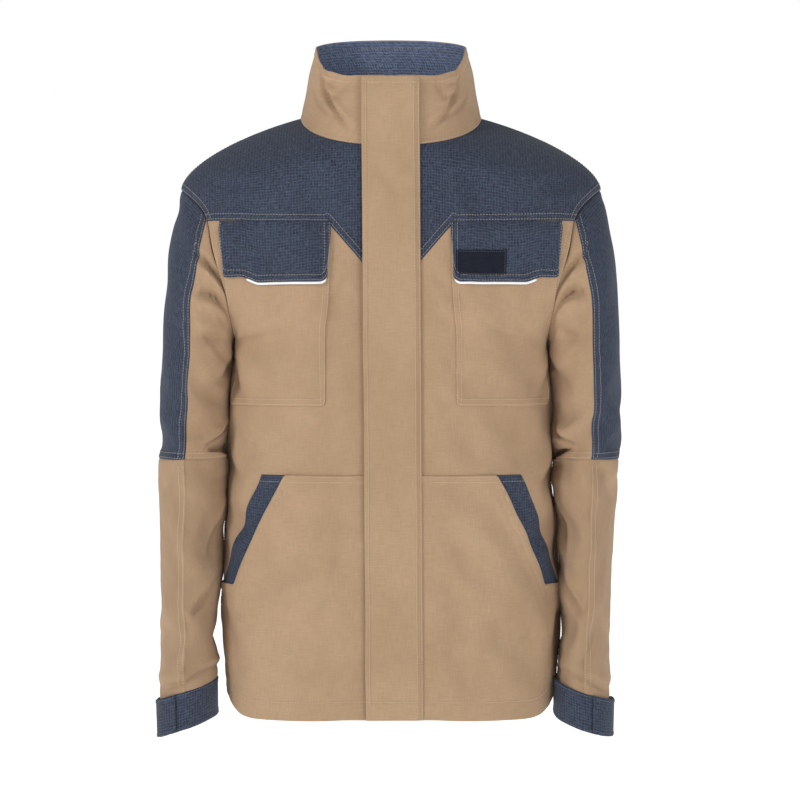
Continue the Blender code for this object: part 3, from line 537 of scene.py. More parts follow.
def lean_on_body(arm, front, sign):
    """Moves the sleeve's inner side until it just touches the body, from below the armpit to the hand."""
    side = front.points[:, -1]
    inner = np.abs(arm.points[..., 0]).argmin(1)
    nearest = arm.points[np.arange(arm.rows + 1), inner]
    gap = np.abs(nearest[:, 0]) - np.interp(nearest[:, 2], side[:, 2], np.abs(side[:, 0])) - 0.0004
    v = np.linspace(0, 1, arm.rows + 1)
    gap = np.where(gap > 0, np.minimum(gap, 0.016) * (1 - smooth(0.76, 0.88, v)), gap) * smooth(0.04, 0.12, v)
    facing = np.clip(-np.sin(2 * math.pi * np.linspace(0, 1, arm.columns + 1)), 0, 1) ** 1.2
    arm.points[..., 0] -= sign * gap[:, None] * facing[None, :]
    arm.set_normals()


def gather_wrist(surface):
    """Swells the sleeve's end to fill the cuff, with a horizontal fold where the spare cloth rolls over."""
    v, s = surface.places()
    turn = 2 * math.pi * s
    fold = 0.962 - 0.008 * np.cos(turn - 4.7) + 0.004 * np.sin(3 * turn + surface.outward)
    swell = 0.0036 * smooth(0.88, 0.955, v) - 0.0014 * smooth(0.985, 1.0, v)
    depth = 0.0032 * (1 - 0.75 * bump(math.pi / 2, 0.7, turn)) * (1 - 0.5 * bump(3 * math.pi / 2, 0.6, turn))
    lift = swell + 0.0015 * bump(fold - 0.016, 0.010, v) - depth * bump(fold, 0.0065, v)
    return Surface(surface.points + surface.normals * lift[..., None], surface.outward)


# Creases of the left-hand surfaces, mirrored on the right: start (s, v), end (s, v), width and depth.
SLEEVE_CREASES = (
    ((1.075, 0.085), (0.945, -0.010), 0.0042, 0.0115),
    ((1.025, 0.155), (0.915, 0.020), 0.0046, 0.0115),
    ((0.86, 0.10), (0.97, 0.25), 0.0060, 0.0065),
    ((0.74, 0.10), (0.90, 0.36), 0.0080, 0.0050),
    ((0.780, 0.400), (0.915, 0.525), 0.0042, 0.0115),
    ((0.905, 0.527), (0.745, 0.570), 0.0042, 0.0105),
    ((0.785, 0.645), (0.875, 0.755), 0.0050, 0.0065),
    ((0.800, 0.775), (0.970, 0.848), 0.0046, 0.0075),
    ((0.03, 0.58), (0.16, 0.66), 0.0090, 0.0035),
    ((0.04, 0.84), (0.22, 0.90), 0.0070, 0.0035),
    ((0.55, 0.52), (0.74, 0.60), 0.0100, 0.0048),
    ((0.30, 0.90), (0.48, 0.86), 0.0080, 0.0040),
    ((0.56, 0.86), (0.80, 0.91), 0.0080, 0.0048),
)
FRONT_CREASES = (
    ((0.99, 0.58), (0.74, 0.48), 0.009, 0.0048),
    ((0.99, 0.64), (0.80, 0.55), 0.008, 0.0040),
    ((0.98, 0.40), (0.72, 0.36), 0.012, 0.0040),
    ((0.97, 0.30), (0.60, 0.25), 0.014, 0.0035),
    ((0.30, 0.52), (0.42, 0.42), 0.012, 0.0019),
    ((0.90, 0.16), (0.70, 0.06), 0.013, 0.0032),
    ((0.88, 0.95), (0.62, 0.86), 0.012, 0.0035),
    ((0.34, 0.88), (0.52, 0.78), 0.012, 0.0029),
)
BACK_CREASES = (
    ((0.99, 0.60), (0.66, 0.54), 0.011, 0.0056),
    ((0.98, 0.44), (0.55, 0.40), 0.014, 0.0048),
    ((0.99, 0.70), (0.74, 0.64), 0.010, 0.0040),
    ((0.85, 0.28), (0.45, 0.24), 0.016, 0.0040),
    ((0.30, 0.62), (0.44, 0.48), 0.016, 0.0029),
)
COLLAR_CREASES = (
    ((0.365, 1.00), (0.145, 0.12), 0.0040, 0.0095),
    ((0.410, 0.62), (0.215, 0.30), 0.0038, 0.0045),
    ((0.330, 0.84), (0.200, 0.80), 0.0030, 0.0022),
    ((0.310, 0.66), (0.190, 0.64), 0.0030, 0.0018),
    ((0.170, 0.95), (0.250, 0.55), 0.0050, 0.0018),
    ((0.540, 0.20), (0.640, 0.80), 0.0090, 0.0016),
)
STORM_FLAP_CREASES = (
    ((0.90, 0.97), (0.25, 0.86), 0.006, 0.0014),
    ((0.15, 0.88), (0.75, 0.80), 0.008, 0.0010),
)


def varied(creases, size):
    """The same creases, each moved and deepened a little at random."""
    out = []
    for first, last, width, depth in creases:
        move = RANDOM.uniform(-size, size, 4)
        depth *= RANDOM.uniform(0.7, 1.25)
        out.append((np.add(first, move[:2]), np.add(last, move[2:]), width, depth))
    return out


def collar_surfaces():
    """Both halves of the collar, soft and creased at the front corners."""
    rows, columns = COLLAR_GRID
    turn = np.linspace(0, math.pi, 640)
    v = np.linspace(0, 1, rows)[:, None]
    s = np.linspace(0, 1, columns)[None, :]
    left = even_columns(neckline(turn) * (1 - v[..., None]) + rim(turn) * v[..., None], columns)
    out = {}
    for side, sign in SIDES:
        points = left if sign > 0 else mirrored(left)
        points[:, -1, 0] = 0
        soft = 0.0015 * noise(rows, columns, 3, 12)[0] * np.sin(math.pi * v) ** 0.5
        belly = 0.0005 * np.sin(math.pi * v) * smooth(0.1, 0.3, s)
        lift = soft * smooth(0.12, 0.2, s) * (1 - smooth(0.93, 1, s)) + belly
        out[side] = Surface(points + normals_of(points, sign) * lift[..., None], sign)
        out[side].press(varied(COLLAR_CREASES, 0.01))
    share_normals(out["left"], out["right"], -1, -1, rows)
    return out


# ---------------------------------------------------------------- materials


class Nodes:
    """Short calls that add and join the nodes of one material."""

    def __init__(self, name):
        self.material = bpy.data.materials.new(name)
        self.material.use_nodes = True
        self.tree = self.material.node_tree
        self.tree.nodes.clear()
        self.output = self.tree.nodes.new("ShaderNodeOutputMaterial")
        self.uv = self.add("ShaderNodeTexCoord").outputs["UV"]

    def add(self, kind, **settings):
        node = self.tree.nodes.new(kind)
        for key, value in settings.items():
            setattr(node, key, value)
        return node

    def put(self, target, value):
        if isinstance(value, bpy.types.NodeSocket):
            self.tree.links.new(value, target)
        else:
            target.default_value = value

    def math(self, operation, a, b=0.0, c=0.0):
        node = self.add("ShaderNodeMath", operation=operation)
        for socket, value in zip(node.inputs, (a, b, c), strict=True):
            self.put(socket, value)
        return node.outputs[0]

    def scaled(self, x, y, turn=0.0):
        """The cloth's own coordinates in metres, times x and y."""
        node = self.add("ShaderNodeMapping")
        self.put(node.inputs["Vector"], self.uv)
        node.inputs["Scale"].default_value = (x, y, 1)
        node.inputs["Rotation"].default_value = (0, 0, turn)
        return node.outputs["Vector"]

    def noise(self, vector, detail=2.0, roughness=0.5):
        node = self.add("ShaderNodeTexNoise", noise_dimensions="2D")
        self.put(node.inputs["Vector"], vector)
        node.inputs["Scale"].default_value = 1.0
        node.inputs["Detail"].default_value = detail
        node.inputs["Roughness"].default_value = roughness
        return node.outputs["Fac"]

    def ramp(self, value, low, high, to_low=0.0, to_high=1.0):
        node = self.add("ShaderNodeMapRange", interpolation_type="SMOOTHSTEP")
        for name, put in (("From Min", low), ("From Max", high), ("To Min", to_low), ("To Max", to_high)):
            node.inputs[name].default_value = put
        self.put(node.inputs["Value"], value)
        return node.outputs["Result"]

    def weighted(self, a, weight_a, b, weight_b):
        return self.math("ADD", self.math("MULTIPLY", a, weight_a), self.math("MULTIPLY", b, weight_b))

    def mix(self, factor, a, b):
        node = self.add("ShaderNodeMix", data_type="RGBA")
        colours = [socket for socket in node.inputs if socket.type == "RGBA"]
        self.put(node.inputs[0], factor)
        self.put(colours[0], a)
        self.put(colours[1], b)
        return [socket for socket in node.outputs if socket.type == "RGBA"][0]

    def wave(self, vector, direction="X"):
        node = self.add("ShaderNodeTexWave", bands_direction=direction, wave_profile="SIN")
        self.put(node.inputs["Vector"], vector)
        node.inputs["Scale"].default_value = 1.0
        node.inputs["Distortion"].default_value = 0.0
        return node.outputs["Fac"]

    def finish(self, colour, roughness, height=None, depth=0.0002, sheen=0.0, metallic=0.0, specular=0.3):
        shader = self.add("ShaderNodeBsdfPrincipled")
        self.put(shader.inputs["Base Color"], colour)
        self.put(shader.inputs["Roughness"], roughness)
        shader.inputs["Metallic"].default_value = metallic
        shader.inputs["Specular IOR Level"].default_value = specular
        shader.inputs["Sheen Weight"].default_value = sheen
        shader.inputs["Sheen Roughness"].default_value = 0.5
        if height is not None:
            relief = self.add("ShaderNodeBump")
            relief.inputs["Distance"].default_value = depth
            relief.inputs["Strength"].default_value = 1.0
            self.put(relief.inputs["Height"], height)
            self.put(shader.inputs["Normal"], relief.outputs["Normal"])
        self.put(self.output.inputs["Surface"], shader.outputs["BSDF"])
        return self.material


def tan_canvas():
    """Cotton twill: fine diagonal ribs, faint cross threads, and soft uneven dye and wear."""
    n = Nodes("tan canvas")
    ribs = n.wave(n.scaled(520, 520, math.radians(-58)))
    slub = n.noise(n.scaled(60, 900), 2)
    slub_up = n.noise(n.scaled(900, 60), 2)
    patches = n.noise(n.scaled(9, 7), 3, 0.55)
    clouds = n.noise(n.scaled(38, 30), 4, 0.6)
    tone = n.mix(n.ramp(patches, 0.3, 0.7), (0.400, 0.266, 0.163, 1), (0.446, 0.301, 0.188, 1))
    tone = n.mix(n.ramp(clouds, 0.25, 0.75, 0.0, 0.30), tone, (0.485, 0.336, 0.215, 1))
    threads = n.weighted(slub, 0.5, slub_up, 0.5)
    tone = n.mix(n.ramp(threads, 0.35, 0.65, 0.30, 0.0), tone, (0.285, 0.183, 0.107, 1))
    tone = n.mix(n.ramp(ribs, 0.0, 1.0, 0.16, 0.0), tone, (0.260, 0.164, 0.095, 1))
    return n.finish(tone, 0.90, n.weighted(ribs, 0.6, threads, 0.8), 0.00016, sheen=0.10, specular=0.15)


def navy_ripstop(name, painted_light_gain):
    """Slate-navy cloth with pale slubby threads both ways and a fine square grid. All its colours are
    multiplied by the second argument; above 1 this is painted light.
    """
    n = Nodes(name)

    def tint(*colour):
        return tuple(painted_light_gain * value for value in colour) + (1,)

    across = n.noise(n.scaled(130, 1100), 2, 0.6)
    upward = n.noise(n.scaled(1100, 130), 2, 0.6)
    # A wave node's bands are 0.314 apart at scale 1, and the cloth's grid is 3.4 mm.
    grid_across = n.wave(n.scaled(1, 0.314 / 0.0034), "Y")
    grid_upward = n.wave(n.scaled(0.314 / 0.0034, 1), "X")
    patches = n.noise(n.scaled(10, 9), 3)
    tone = n.mix(n.ramp(patches, 0.3, 0.7), tint(0.0175, 0.0225, 0.0385), tint(0.0235, 0.030, 0.049))
    pale = tint(0.080, 0.099, 0.146)
    dark = tint(0.006, 0.008, 0.016)
    slubs, grids = (across, upward), (grid_across, grid_upward)
    for both, low, high, most, colour in (
        (slubs, 0.50, 0.68, 0.45, pale),
        (slubs, 0.46, 0.30, 0.45, dark),
        (grids, 0.78, 1.0, 0.42, pale),
    ):
        for pattern in both:
            tone = n.mix(n.ramp(pattern, low, high, 0.0, most), tone, colour)
    relief = n.weighted(across, 0.7, upward, 0.7)
    relief = n.math("ADD", relief, n.math("MULTIPLY", n.math("ADD", grid_across, grid_upward), 0.3))
    return n.finish(tone, 0.82, relief, 0.00018, sheen=0.06, specular=0.2)


def thread(name, colour):
    n = Nodes(name)
    twist = n.wave(n.scaled(2600, 1400))
    tone = n.mix(n.ramp(twist, 0.0, 1.0, 0.4, 0.0), (*colour, 1), tuple(0.5 * c for c in colour) + (1,))
    return n.finish(tone, 0.6, twist, 0.00005, specular=0.35)


def reflective():
    """Silver piping with a fine grain."""
    n = Nodes("reflective piping")
    grain = n.noise(n.scaled(3000, 3000), 2)
    tone = n.mix(n.ramp(grain, 0.3, 0.7), (0.70, 0.71, 0.72, 1), (0.88, 0.88, 0.88, 1))
    return n.finish(tone, 0.38, grain, 0.00004, specular=0.6)


def pile(name, colour):
    """Hook or loop tape: a rough matt pile."""
    n = Nodes(name)
    tufts = n.noise(n.scaled(1100, 1100), 3, 0.7)
    dark = tuple(0.35 * c for c in colour) + (1,)
    tone = n.mix(n.ramp(tufts, 0.3, 0.7), dark, (*colour, 1))
    return n.finish(tone, 0.95, tufts, 0.0005, sheen=0.4, specular=0.1)


def badge():
    """Woven satin of the plain badge."""
    n = Nodes("badge")
    weave = n.wave(n.scaled(1600, 1600, math.radians(45)))
    cloth = n.noise(n.scaled(90, 1500), 2)
    tone = n.mix(n.ramp(cloth, 0.3, 0.7), (0.004, 0.005, 0.012, 1), (0.009, 0.011, 0.024, 1))
    return n.finish(tone, 0.75, weave, 0.00008, specular=0.2)


def tape():
    """Ribbed zip tape and the hanger strip."""
    n = Nodes("zip tape")
    ribs = n.wave(n.scaled(1, 900), "Y")
    cloth = n.noise(n.scaled(700, 60), 2)
    tone = n.mix(n.ramp(cloth, 0.3, 0.7), (0.020, 0.025, 0.042, 1), (0.045, 0.054, 0.080, 1))
    return n.finish(tone, 0.85, ribs, 0.0002, sheen=0.2)


def metal(name, colour, roughness):
    n = Nodes(name)
    wear = n.noise(n.scaled(240, 240), 4, 0.65)
    fine = n.noise(n.scaled(2400, 300), 2)
    dull = tuple(0.55 * c for c in colour) + (1,)
    tone = n.mix(n.ramp(wear, 0.35, 0.7), dull, (*colour, 1))
    rough = n.ramp(wear, 0.3, 0.7, roughness + 0.15, roughness - 0.05)
    return n.finish(tone, rough, fine, 0.00003, metallic=1.0)


# ---------------------------------------------------------------- bodies


def bends():
    """Each group's bodies: the one body its cloth rides, or the two it is meant to bend between, with a start
    and an end point that nothing in this script reads.
    """
    groups = {"body": ("body",), "slider": ("slider",), "pull": ("pull",)}
    for side, sign in SIDES:
        mirror = np.array([sign, 1, 1])
        shoulder = np.array([SHOULDER_X, 0, SHOULDER_Z])
        along_armhole = shoulder - (ARMPIT_X, 0, ARMPIT_Z)
        away = np.array([along_armhole[2], 0, -along_armhole[0]]) / np.linalg.norm(along_armhole)
        end = shoulder + away * 0.052
        groups[f"{side}_arm"] = ("body", f"{side}_sleeve", shoulder * mirror, end * mirror)
        top = (sign * 0.24, 0, ELBOW_Z - 0.010)
        foot = (sign * 0.24, 0, 0.085)
        groups[f"{side}_forearm"] = (f"{side}_sleeve", f"{side}_forearm", top, foot)
        groups[f"{side}_cuff"] = (f"{side}_forearm",)
        root = TAB_HINGE * mirror - (SWAY[side], 0, 0)
        tip = root + (sign * 0.012, 0, 0)
        groups[f"{side}_tab"] = (f"{side}_forearm", f"{side}_tab", root, tip)
        top = (sign * 0.14, -0.09, FLAP_TOP_Z)
        foot = (sign * 0.14, -0.09, FLAP_TOP_Z - 0.012)
        groups[f"{side}_pocket_flap"] = ("body", f"{side}_pocket_flap", top, foot)
    sewn = (FLAP_SEWN_X - 0.0055, -0.1, 0.4)
    groups["storm_flap"] = ("body", "storm_flap", sewn, (FLAP_SEWN_X - 0.0175, -0.1, 0.4))
    return groups


# ---------------------------------------------------------------- meshes


def add_mesh(name, group, points, quads, uv, look):
    """A smooth-shaded piece from points, four-cornered faces and cloth coordinates."""
    points, quads = np.asarray(points, float) + FOOT, np.asarray(quads, np.int32)
    mesh = bpy.data.meshes.new(name)
    mesh.vertices.add(len(points))
    mesh.vertices.foreach_set("co", points.astype(np.float32).ravel())
    mesh.loops.add(quads.size)
    mesh.loops.foreach_set("vertex_index", quads.ravel())
    mesh.polygons.add(len(quads))
    mesh.polygons.foreach_set("loop_start", np.arange(len(quads), dtype=np.int32) * 4)
    layer = mesh.uv_layers.new(name="cloth")
    layer.data.foreach_set("uv", np.asarray(uv, np.float32)[quads.ravel()].ravel())
    mesh.update(calc_edges=True)
    mesh.validate()
    mesh.shade_smooth()
    mesh.materials.append(LOOKS[look])
    node = name if name in frame["nodes"] else None
    obj = bpy.data.objects.new(f"{name}_cloth" if node else name, mesh)
    bpy.context.scene.collection.objects.link(obj)
    bend = BENDS[group]
    if len(bend) == 1:
        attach(obj, bend[0])
    else:
        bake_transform(obj)
    if node:
        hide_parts(node)
    return obj


def grid_faces(rows, columns, outward):
    """Faces of a closed shell between two grids of points, the outer one first."""
    a = (np.arange(rows - 1)[:, None] * columns + np.arange(columns - 1)[None, :]).ravel()
    quads = np.stack([a, a + 1, a + columns + 1, a + columns], -1)
    low, high = np.arange(columns), (rows - 1) * columns + np.arange(columns)
    near, far = np.arange(rows) * columns, np.arange(rows) * columns + columns - 1
    ring = np.concatenate([low[:-1], far[:-1], high[:0:-1], near[:0:-1]])
    after = np.roll(ring, -1)
    count = rows * columns
    walls = np.stack([after, ring, ring + count, after + count], -1)
    faces = np.concatenate([quads, quads[:, ::-1] + count, walls])
    return faces if outward > 0 else faces[:, ::-1]


class Sheet:
    """A cloth piece: a grid of places on a surface. It knows how far each place is from its four edges.

    folds maps an edge to (width, lift): a turned edge, thicker for its width and rounded off at its end.
    """

    def __init__(self, surface, s, v, height=0.0, thickness=CLOTH, folds=None):
        s, v = np.broadcast_arrays(s, v)
        flat = surface.at(s, v, 0 * s)
        self.outward = surface.outward
        self.cloth = surface.read(surface.cloth, s, v)
        if surface.closed:
            self.cloth[..., 0] += np.floor(s) * surface.distance(1, v)
        self.distance = self.edge_distances(flat)
        near, low = self.distance["near"], self.distance["low"]
        relief = 0 * near
        folds = [(self.distance[edge], *fold) for edge, fold in (folds or {}).items()]
        for d, width, lift in folds:
            relief = np.maximum(relief, lift * (1 - smooth(width - 0.0008, width + 0.0014, d)))
        pucker = 0.00022 * np.sin(near * 800 + 3 * np.sin(near * 130) + low * 760)
        for d, width, lift in folds:
            relief = relief - 0.75 * corner(d, thickness + lift) + (pucker - 0.00018) * bump(width, 0.0022, d)
        self.outer = surface.at(s, v, height + thickness + relief)
        self.inner = surface.at(s, v, height + 0 * relief)
        self.mend()

    def mend(self):
        self.normals = normals_of(self.outer, self.outward)

    @staticmethod
    def edge_distances(flat):
        """How far each place is from the edges, measured square to them."""
        near, low = run_lengths(flat, 1), run_lengths(flat, 0)

        def square(edge, inside):
            return np.linalg.norm(np.cross(unit(np.gradient(edge, axis=0)), unit(inside - edge)), axis=-1)

        column, row = min(12, flat.shape[1] - 1), min(12, len(flat) - 1)
        return {
            "near": near * square(flat[:, 0], flat[:, column])[:, None],
            "far": (near[:, -1:] - near) * square(flat[:, -1], flat[:, -1 - column])[:, None],
            "low": low * square(flat[0], flat[row])[None, :],
            "high": (low[-1:] - low) * square(flat[-1], flat[-1 - row])[None, :],
        }

    def line(self, edge, inset, start=0.0, end=1.0):
        """Places and normals along an edge at this inset from it, between two shares of its length."""
        tables = np.concatenate([self.outer, self.normals, self.distance[edge][..., None]], -1)
        if edge in ("near", "far"):
            tables = tables.transpose(1, 0, 2)
        if edge in ("far", "high"):
            tables = tables[::-1]
        both = np.array([read_line(inset, tables[:, k, 6], tables[:, k, :6]) for k in range(tables.shape[1])])
        at = run_lengths(both[:, :3])
        low, high = start * at[-1], end * at[-1]
        places = np.concatenate([[low], at[(at > low) & (at < high)], [high]])
        both = read_line(places, at, both)
        return both[:, :3], both[:, 3:]

    def joined(self, other, column):
        """This sheet and its mirror image, joined at a column: 0 for the first, -1 for the last."""
        whole = object.__new__(Sheet)
        whole.outward = self.outward
        mate = self.cloth[:, column, None, 0] * 2
        other_cloth = np.stack([mate - self.cloth[..., 0], self.cloth[..., 1]], -1)
        pairs = {"outer": (self.outer, other.outer), "inner": (self.inner, other.inner)}
        pairs["cloth"] = (self.cloth, other_cloth)
        for name, (mine, theirs) in pairs.items():
            if column == 0:
                both = np.concatenate([theirs[:, :0:-1], mine], 1)
            else:
                both = np.concatenate([mine, theirs[:, -2::-1]], 1)
            setattr(whole, name, both)
        whole.distance = self.edge_distances(whole.outer)
        whole.mend()
        return whole


def add_sheet(name, group, sheet, look):
    rows, columns = sheet.outer.shape[:2]
    points = np.concatenate([sheet.outer.reshape(-1, 3), sheet.inner.reshape(-1, 3)])
    cloth = np.tile(sheet.cloth.reshape(-1, 2), (2, 1)) + CLOTH_SHIFT[name.split("_")[0]]
    return add_mesh(name, group, points, grid_faces(rows, columns, sheet.outward), cloth, look)


def shares(length, near=(), far=(), step=STEP):
    """Shares from 0 to 1 at about this step, with extra lines at set distances from each end."""
    count = max(2, int(round(length / step)))
    even = np.linspace(0, 1, count + 1)
    extra = [d / length for d in near] + [1 - d / length for d in far]
    kept = [t for t in even if all(abs(t - e) > 0.3 * step / length for e in extra) or t in (0, 1)]
    return np.unique(np.clip(np.array(kept + extra), 0, 1))


EDGE_LINES = (0.0003, 0.0008, 0.0014)


def fold_lines(width):
    """Distances from a turned edge that need their own line, so that its roll and step keep their shape."""
    return (*EDGE_LINES, width - 0.0008, width, width + 0.0008, width + 0.0016)


def patch(surface, a, b, place, **options):
    """A sheet whose shares a (along) and b (up) are placed by distance from the centre and by height."""
    distance, z = np.broadcast_arrays(*place(a[None, :], b[:, None]))
    s, v = surface.find(distance, z)
    height = options.pop("height", 0.0)
    if callable(height):
        height = height(distance, z)
    return Sheet(surface, s, v, height, **options)


def box_place(near, far, low, high):
    """Places for patch: a plain rectangle."""

    def place(a, b):
        return near + (far - near) * a, low + (high - low) * b

    return place


def cells(columns, rows):
    """Even places all over a surface."""
    return np.linspace(0, 1, columns)[None, :], np.linspace(0, 1, rows)[:, None]

def tube_faces(rings, sides, base=0):
    """Faces round a tube whose rings of points follow each other from this base on."""
    faces = []
    for ring in range(rings - 1):
        for k in range(sides):
            a, b = (base + ring * sides + step % sides for step in (k, k + 1))
            faces.append((a, a + sides, b + sides, b))
    return faces

def sweep(name, group, points, normals, radius, look, flat=1.0, sides=10):
    """A cord along points, with its ends drawn in. flat squashes it towards the surface."""
    across = np.cross(unit(np.gradient(points, axis=0)), normals)
    count = len(points)
    at = np.minimum(np.arange(count), np.arange(count)[::-1])
    width = radius * np.sqrt(np.clip(1 - (1 - np.minimum(at / 3, 1)) ** 2, 0.04, 1))
    turn = 2 * math.pi * np.arange(sides)[None, :, None] / sides
    ring = np.cos(turn) * across[:, None] + flat * np.sin(turn) * normals[:, None]
    rings = points[:, None] + ring * width[:, None, None]
    quads = tube_faces(count, sides)
    last = (count - 1) * sides
    for k in range(1, sides // 2):
        quads.append((k - 1, k, sides - 1 - k, (sides - k) % sides))
        quads.append((last + (sides - k) % sides, last + sides - 1 - k, last + k, last + k - 1))
    uv = np.stack(np.broadcast_arrays(turn[..., 0] * radius, np.arange(count)[:, None] * STEP), -1)
    return add_mesh(name, group, rings.reshape(-1, 3), quads, uv.reshape(-1, 2), look)


# ---------------------------------------------------------------- thread


class Stitches:
    """Collects rows of stitches by group and colour, and makes one object from each."""

    def __init__(self):
        self.rows = {}

    def sew(self, group, colour, line, pitch=0.0034, length=0.0026, radius=0.00040):
        """A row of stitches along a line of points and normals."""
        points, normals = line
        at = run_lengths(points)
        count = int(at[-1] / pitch)
        if count < 1:
            return
        middles = (np.arange(count) + 0.5) * at[-1] / count + RANDOM.uniform(-0.04, 0.04, count) * pitch
        before, middle, after = (read_line(middles + d, at, points) for d in (-5e-4, 0, 5e-4))
        up = unit(read_line(middles, at, normals))
        along = unit(after - before)
        across = unit(np.cross(along, up))
        rings = []
        for end, sink, width in ((-0.5, -0.9, 0.5), (-0.3, 0.2, 1.0), (0.3, 0.2, 1.0), (0.5, -0.9, 0.5)):
            for turn in np.radians((45, 135, 225, 315)):
                lift = (sink + math.sin(turn) * width) * radius
                aside = math.cos(turn) * width * radius
                rings.append(middle + along * end * length + up * lift + across * aside)
        self.rows.setdefault((group, colour), []).append(np.stack(rings, 1))

    def edges(self, group, colour, sheet, **rows):
        """Rows along a sheet's edges. Each edge has its insets, and perhaps where they start and end."""
        for edge, (insets, *part) in rows.items():
            for inset in insets:
                self.sew(group, colour, sheet.line(edge, inset, *part))

    def finish(self):
        """One object for each group and colour."""
        base = np.array([*tube_faces(4, 4), (0, 1, 2, 3), (15, 14, 13, 12)])
        corners = [[e * 0.0026, k * 0.0006] for e in (0, 0.2, 0.8, 1) for k in range(4)]
        for (group, colour), rows in self.rows.items():
            points = np.concatenate(rows)
            quads = base[None] + 16 * np.arange(len(points))[:, None, None]
            uv = np.tile(np.array(corners), (len(points), 1))
            name, look = f"{group}_{colour}_thread", f"{colour} thread"
            add_mesh(name, group, points.reshape(-1, 3), quads.reshape(-1, 4), uv, look)


# ---------------------------------------------------------------- fronts and back


DOUBLE = (0.0022, 0.0082)
HEM, ARMHOLE = (HEM_WIDTH, 0.0004), (0.010, 0.0006)
HEM_ROW = ((HEM_WIDTH + 0.0005,),)
CHEST_POCKET = (0.077, 0.217, 0.363, 0.566)
CHEST_FLAP = (0.075, 0.217, 0.508, 0.5795)
POCKET_TAPE = (0.112, 0.162, 0.522, 0.542)
LABEL = (0.083, 0.147, 0.516, 0.545)
MOUTH_TOP, MOUTH_FOOT = (0.121, WAIST_SEAM_Z), (0.196, 0.152)
FACING_WIDTH = 0.036


def inner_edge(surface, v):
    """s of the front's inner edge: beside the zip, and at the neck seam's end above it."""
    return ZIP_EDGE / surface.distance(1, v) * (1 - smooth(NECK_V - 0.04, NECK_V, v))


def yoke_height(distance):
    """The front yoke's lower edge: a point by the storm flap, then level to the armhole."""
    return YOKE_POINT_Z + (YOKE_Z - YOKE_POINT_Z) * np.clip(distance / YOKE_CORNER_X, 0, 1)


def mouth_height(distance):
    """The lower front's top edge: the waist seam, then the hand pocket's slanted mouth, then level."""
    (top, top_z), (foot, foot_z) = MOUTH_TOP, MOUTH_FOOT
    return top_z + (foot_z - top_z) * np.clip((distance - top) / (foot - top), 0, 1)


def between(low, high, rows):
    """v of places in rows between two lines."""
    return low[None, :] * (1 - rows[:, None]) + high[None, :] * rows[:, None]

def tucked(v, seam):
    """Heights of cloth that runs on under the piece above its seam."""
    return -CLOTH - 0.0012 * smooth(-0.001, 0.004, (v - seam[None, :]) * 0.8)


def make_front(side, surface):
    """The tan front panel, tucked under the navy yoke, whose shoulder edge meets the back's."""
    columns = shares(0.26, near=EDGE_LINES, far=fold_lines(TURN_WIDTH))
    seam = surface.seam(columns, yoke_height)
    v = between(0 * seam, seam + 0.008, shares(0.56, near=fold_lines(HEM_WIDTH)))
    inner = inner_edge(surface, v)
    folds = {"far": (TURN_WIDTH, 0.0005), "low": HEM}
    panel = Sheet(surface, inner + (1 - inner) * columns, v, tucked(v, seam), folds=folds)
    add_sheet(f"{side}_front_panel", "body", panel, "tan")
    STITCHES.edges("body", "tan", panel, far=(DOUBLE, 0.24, 0.985), low=HEM_ROW)

    columns = shares(0.24, near=EDGE_LINES, far=fold_lines(TURN_WIDTH))
    seam = surface.seam(columns, yoke_height)
    v = between(seam, 0 * seam + 1, shares(0.15, near=fold_lines(SEAM_WIDTH), far=fold_lines(TURN_WIDTH)))
    inner = inner_edge(surface, v)
    folds = {"low": (SEAM_WIDTH, 0.0007), "far": ARMHOLE, "high": (TURN_WIDTH, 0.0004)}
    yoke = Sheet(surface, inner + (1 - inner) * columns, v, -CLOTH, folds=folds)
    add_sheet(f"{side}_front_yoke", "body", yoke, "navy")
    STITCHES.edges("body", "pale", yoke, low=(DOUBLE, 0.10, 1.0), far=(DOUBLE, 0.04, 0.98))


def make_back(torso):
    """The tan back panel and the navy back yoke, each in one piece across the middle."""
    halves = [torso["left_back"], torso["right_back"]]
    columns = shares(0.27, far=fold_lines(ARMHOLE[0]))
    seam = halves[0].seam(columns, lambda distance: BACK_YOKE_Z + 0 * distance)
    v = between(0 * seam, seam + 0.008, shares(0.57, near=fold_lines(HEM_WIDTH)))
    folds = {"far": ARMHOLE, "low": HEM}
    panels = [Sheet(half, columns[None, :], v, tucked(v, seam), folds=folds) for half in halves]
    v = between(seam, 0 * seam + 1, shares(0.18, near=fold_lines(SEAM_WIDTH), far=fold_lines(ARMHOLE[0])))
    folds = {"low": (SEAM_WIDTH, 0.0007), "far": ARMHOLE, "high": ARMHOLE}
    yokes = [Sheet(half, columns[None, :], v, -CLOTH, folds=folds) for half in halves]
    panel, yoke = panels[0].joined(panels[1], 0), yokes[0].joined(yokes[1], 0)
    add_sheet("back_panel", "body", panel, "tan")
    add_sheet("back_yoke", "body", yoke, "navy")
    STITCHES.edges("body", "tan", panel, low=HEM_ROW)
    STITCHES.edges("body", "pale", yoke, low=(DOUBLE,))
    for edge in ("near", "far"):
        STITCHES.edges("body", "tan", panel, **{edge: (DOUBLE, 0.01, 0.985)})
        STITCHES.edges("body", "pale", yoke, **{edge: (DOUBLE, 0.02, 0.97)})
    for half in yokes:
        STITCHES.edges("body", "pale", half, high=(DOUBLE, 0.44, 0.98))


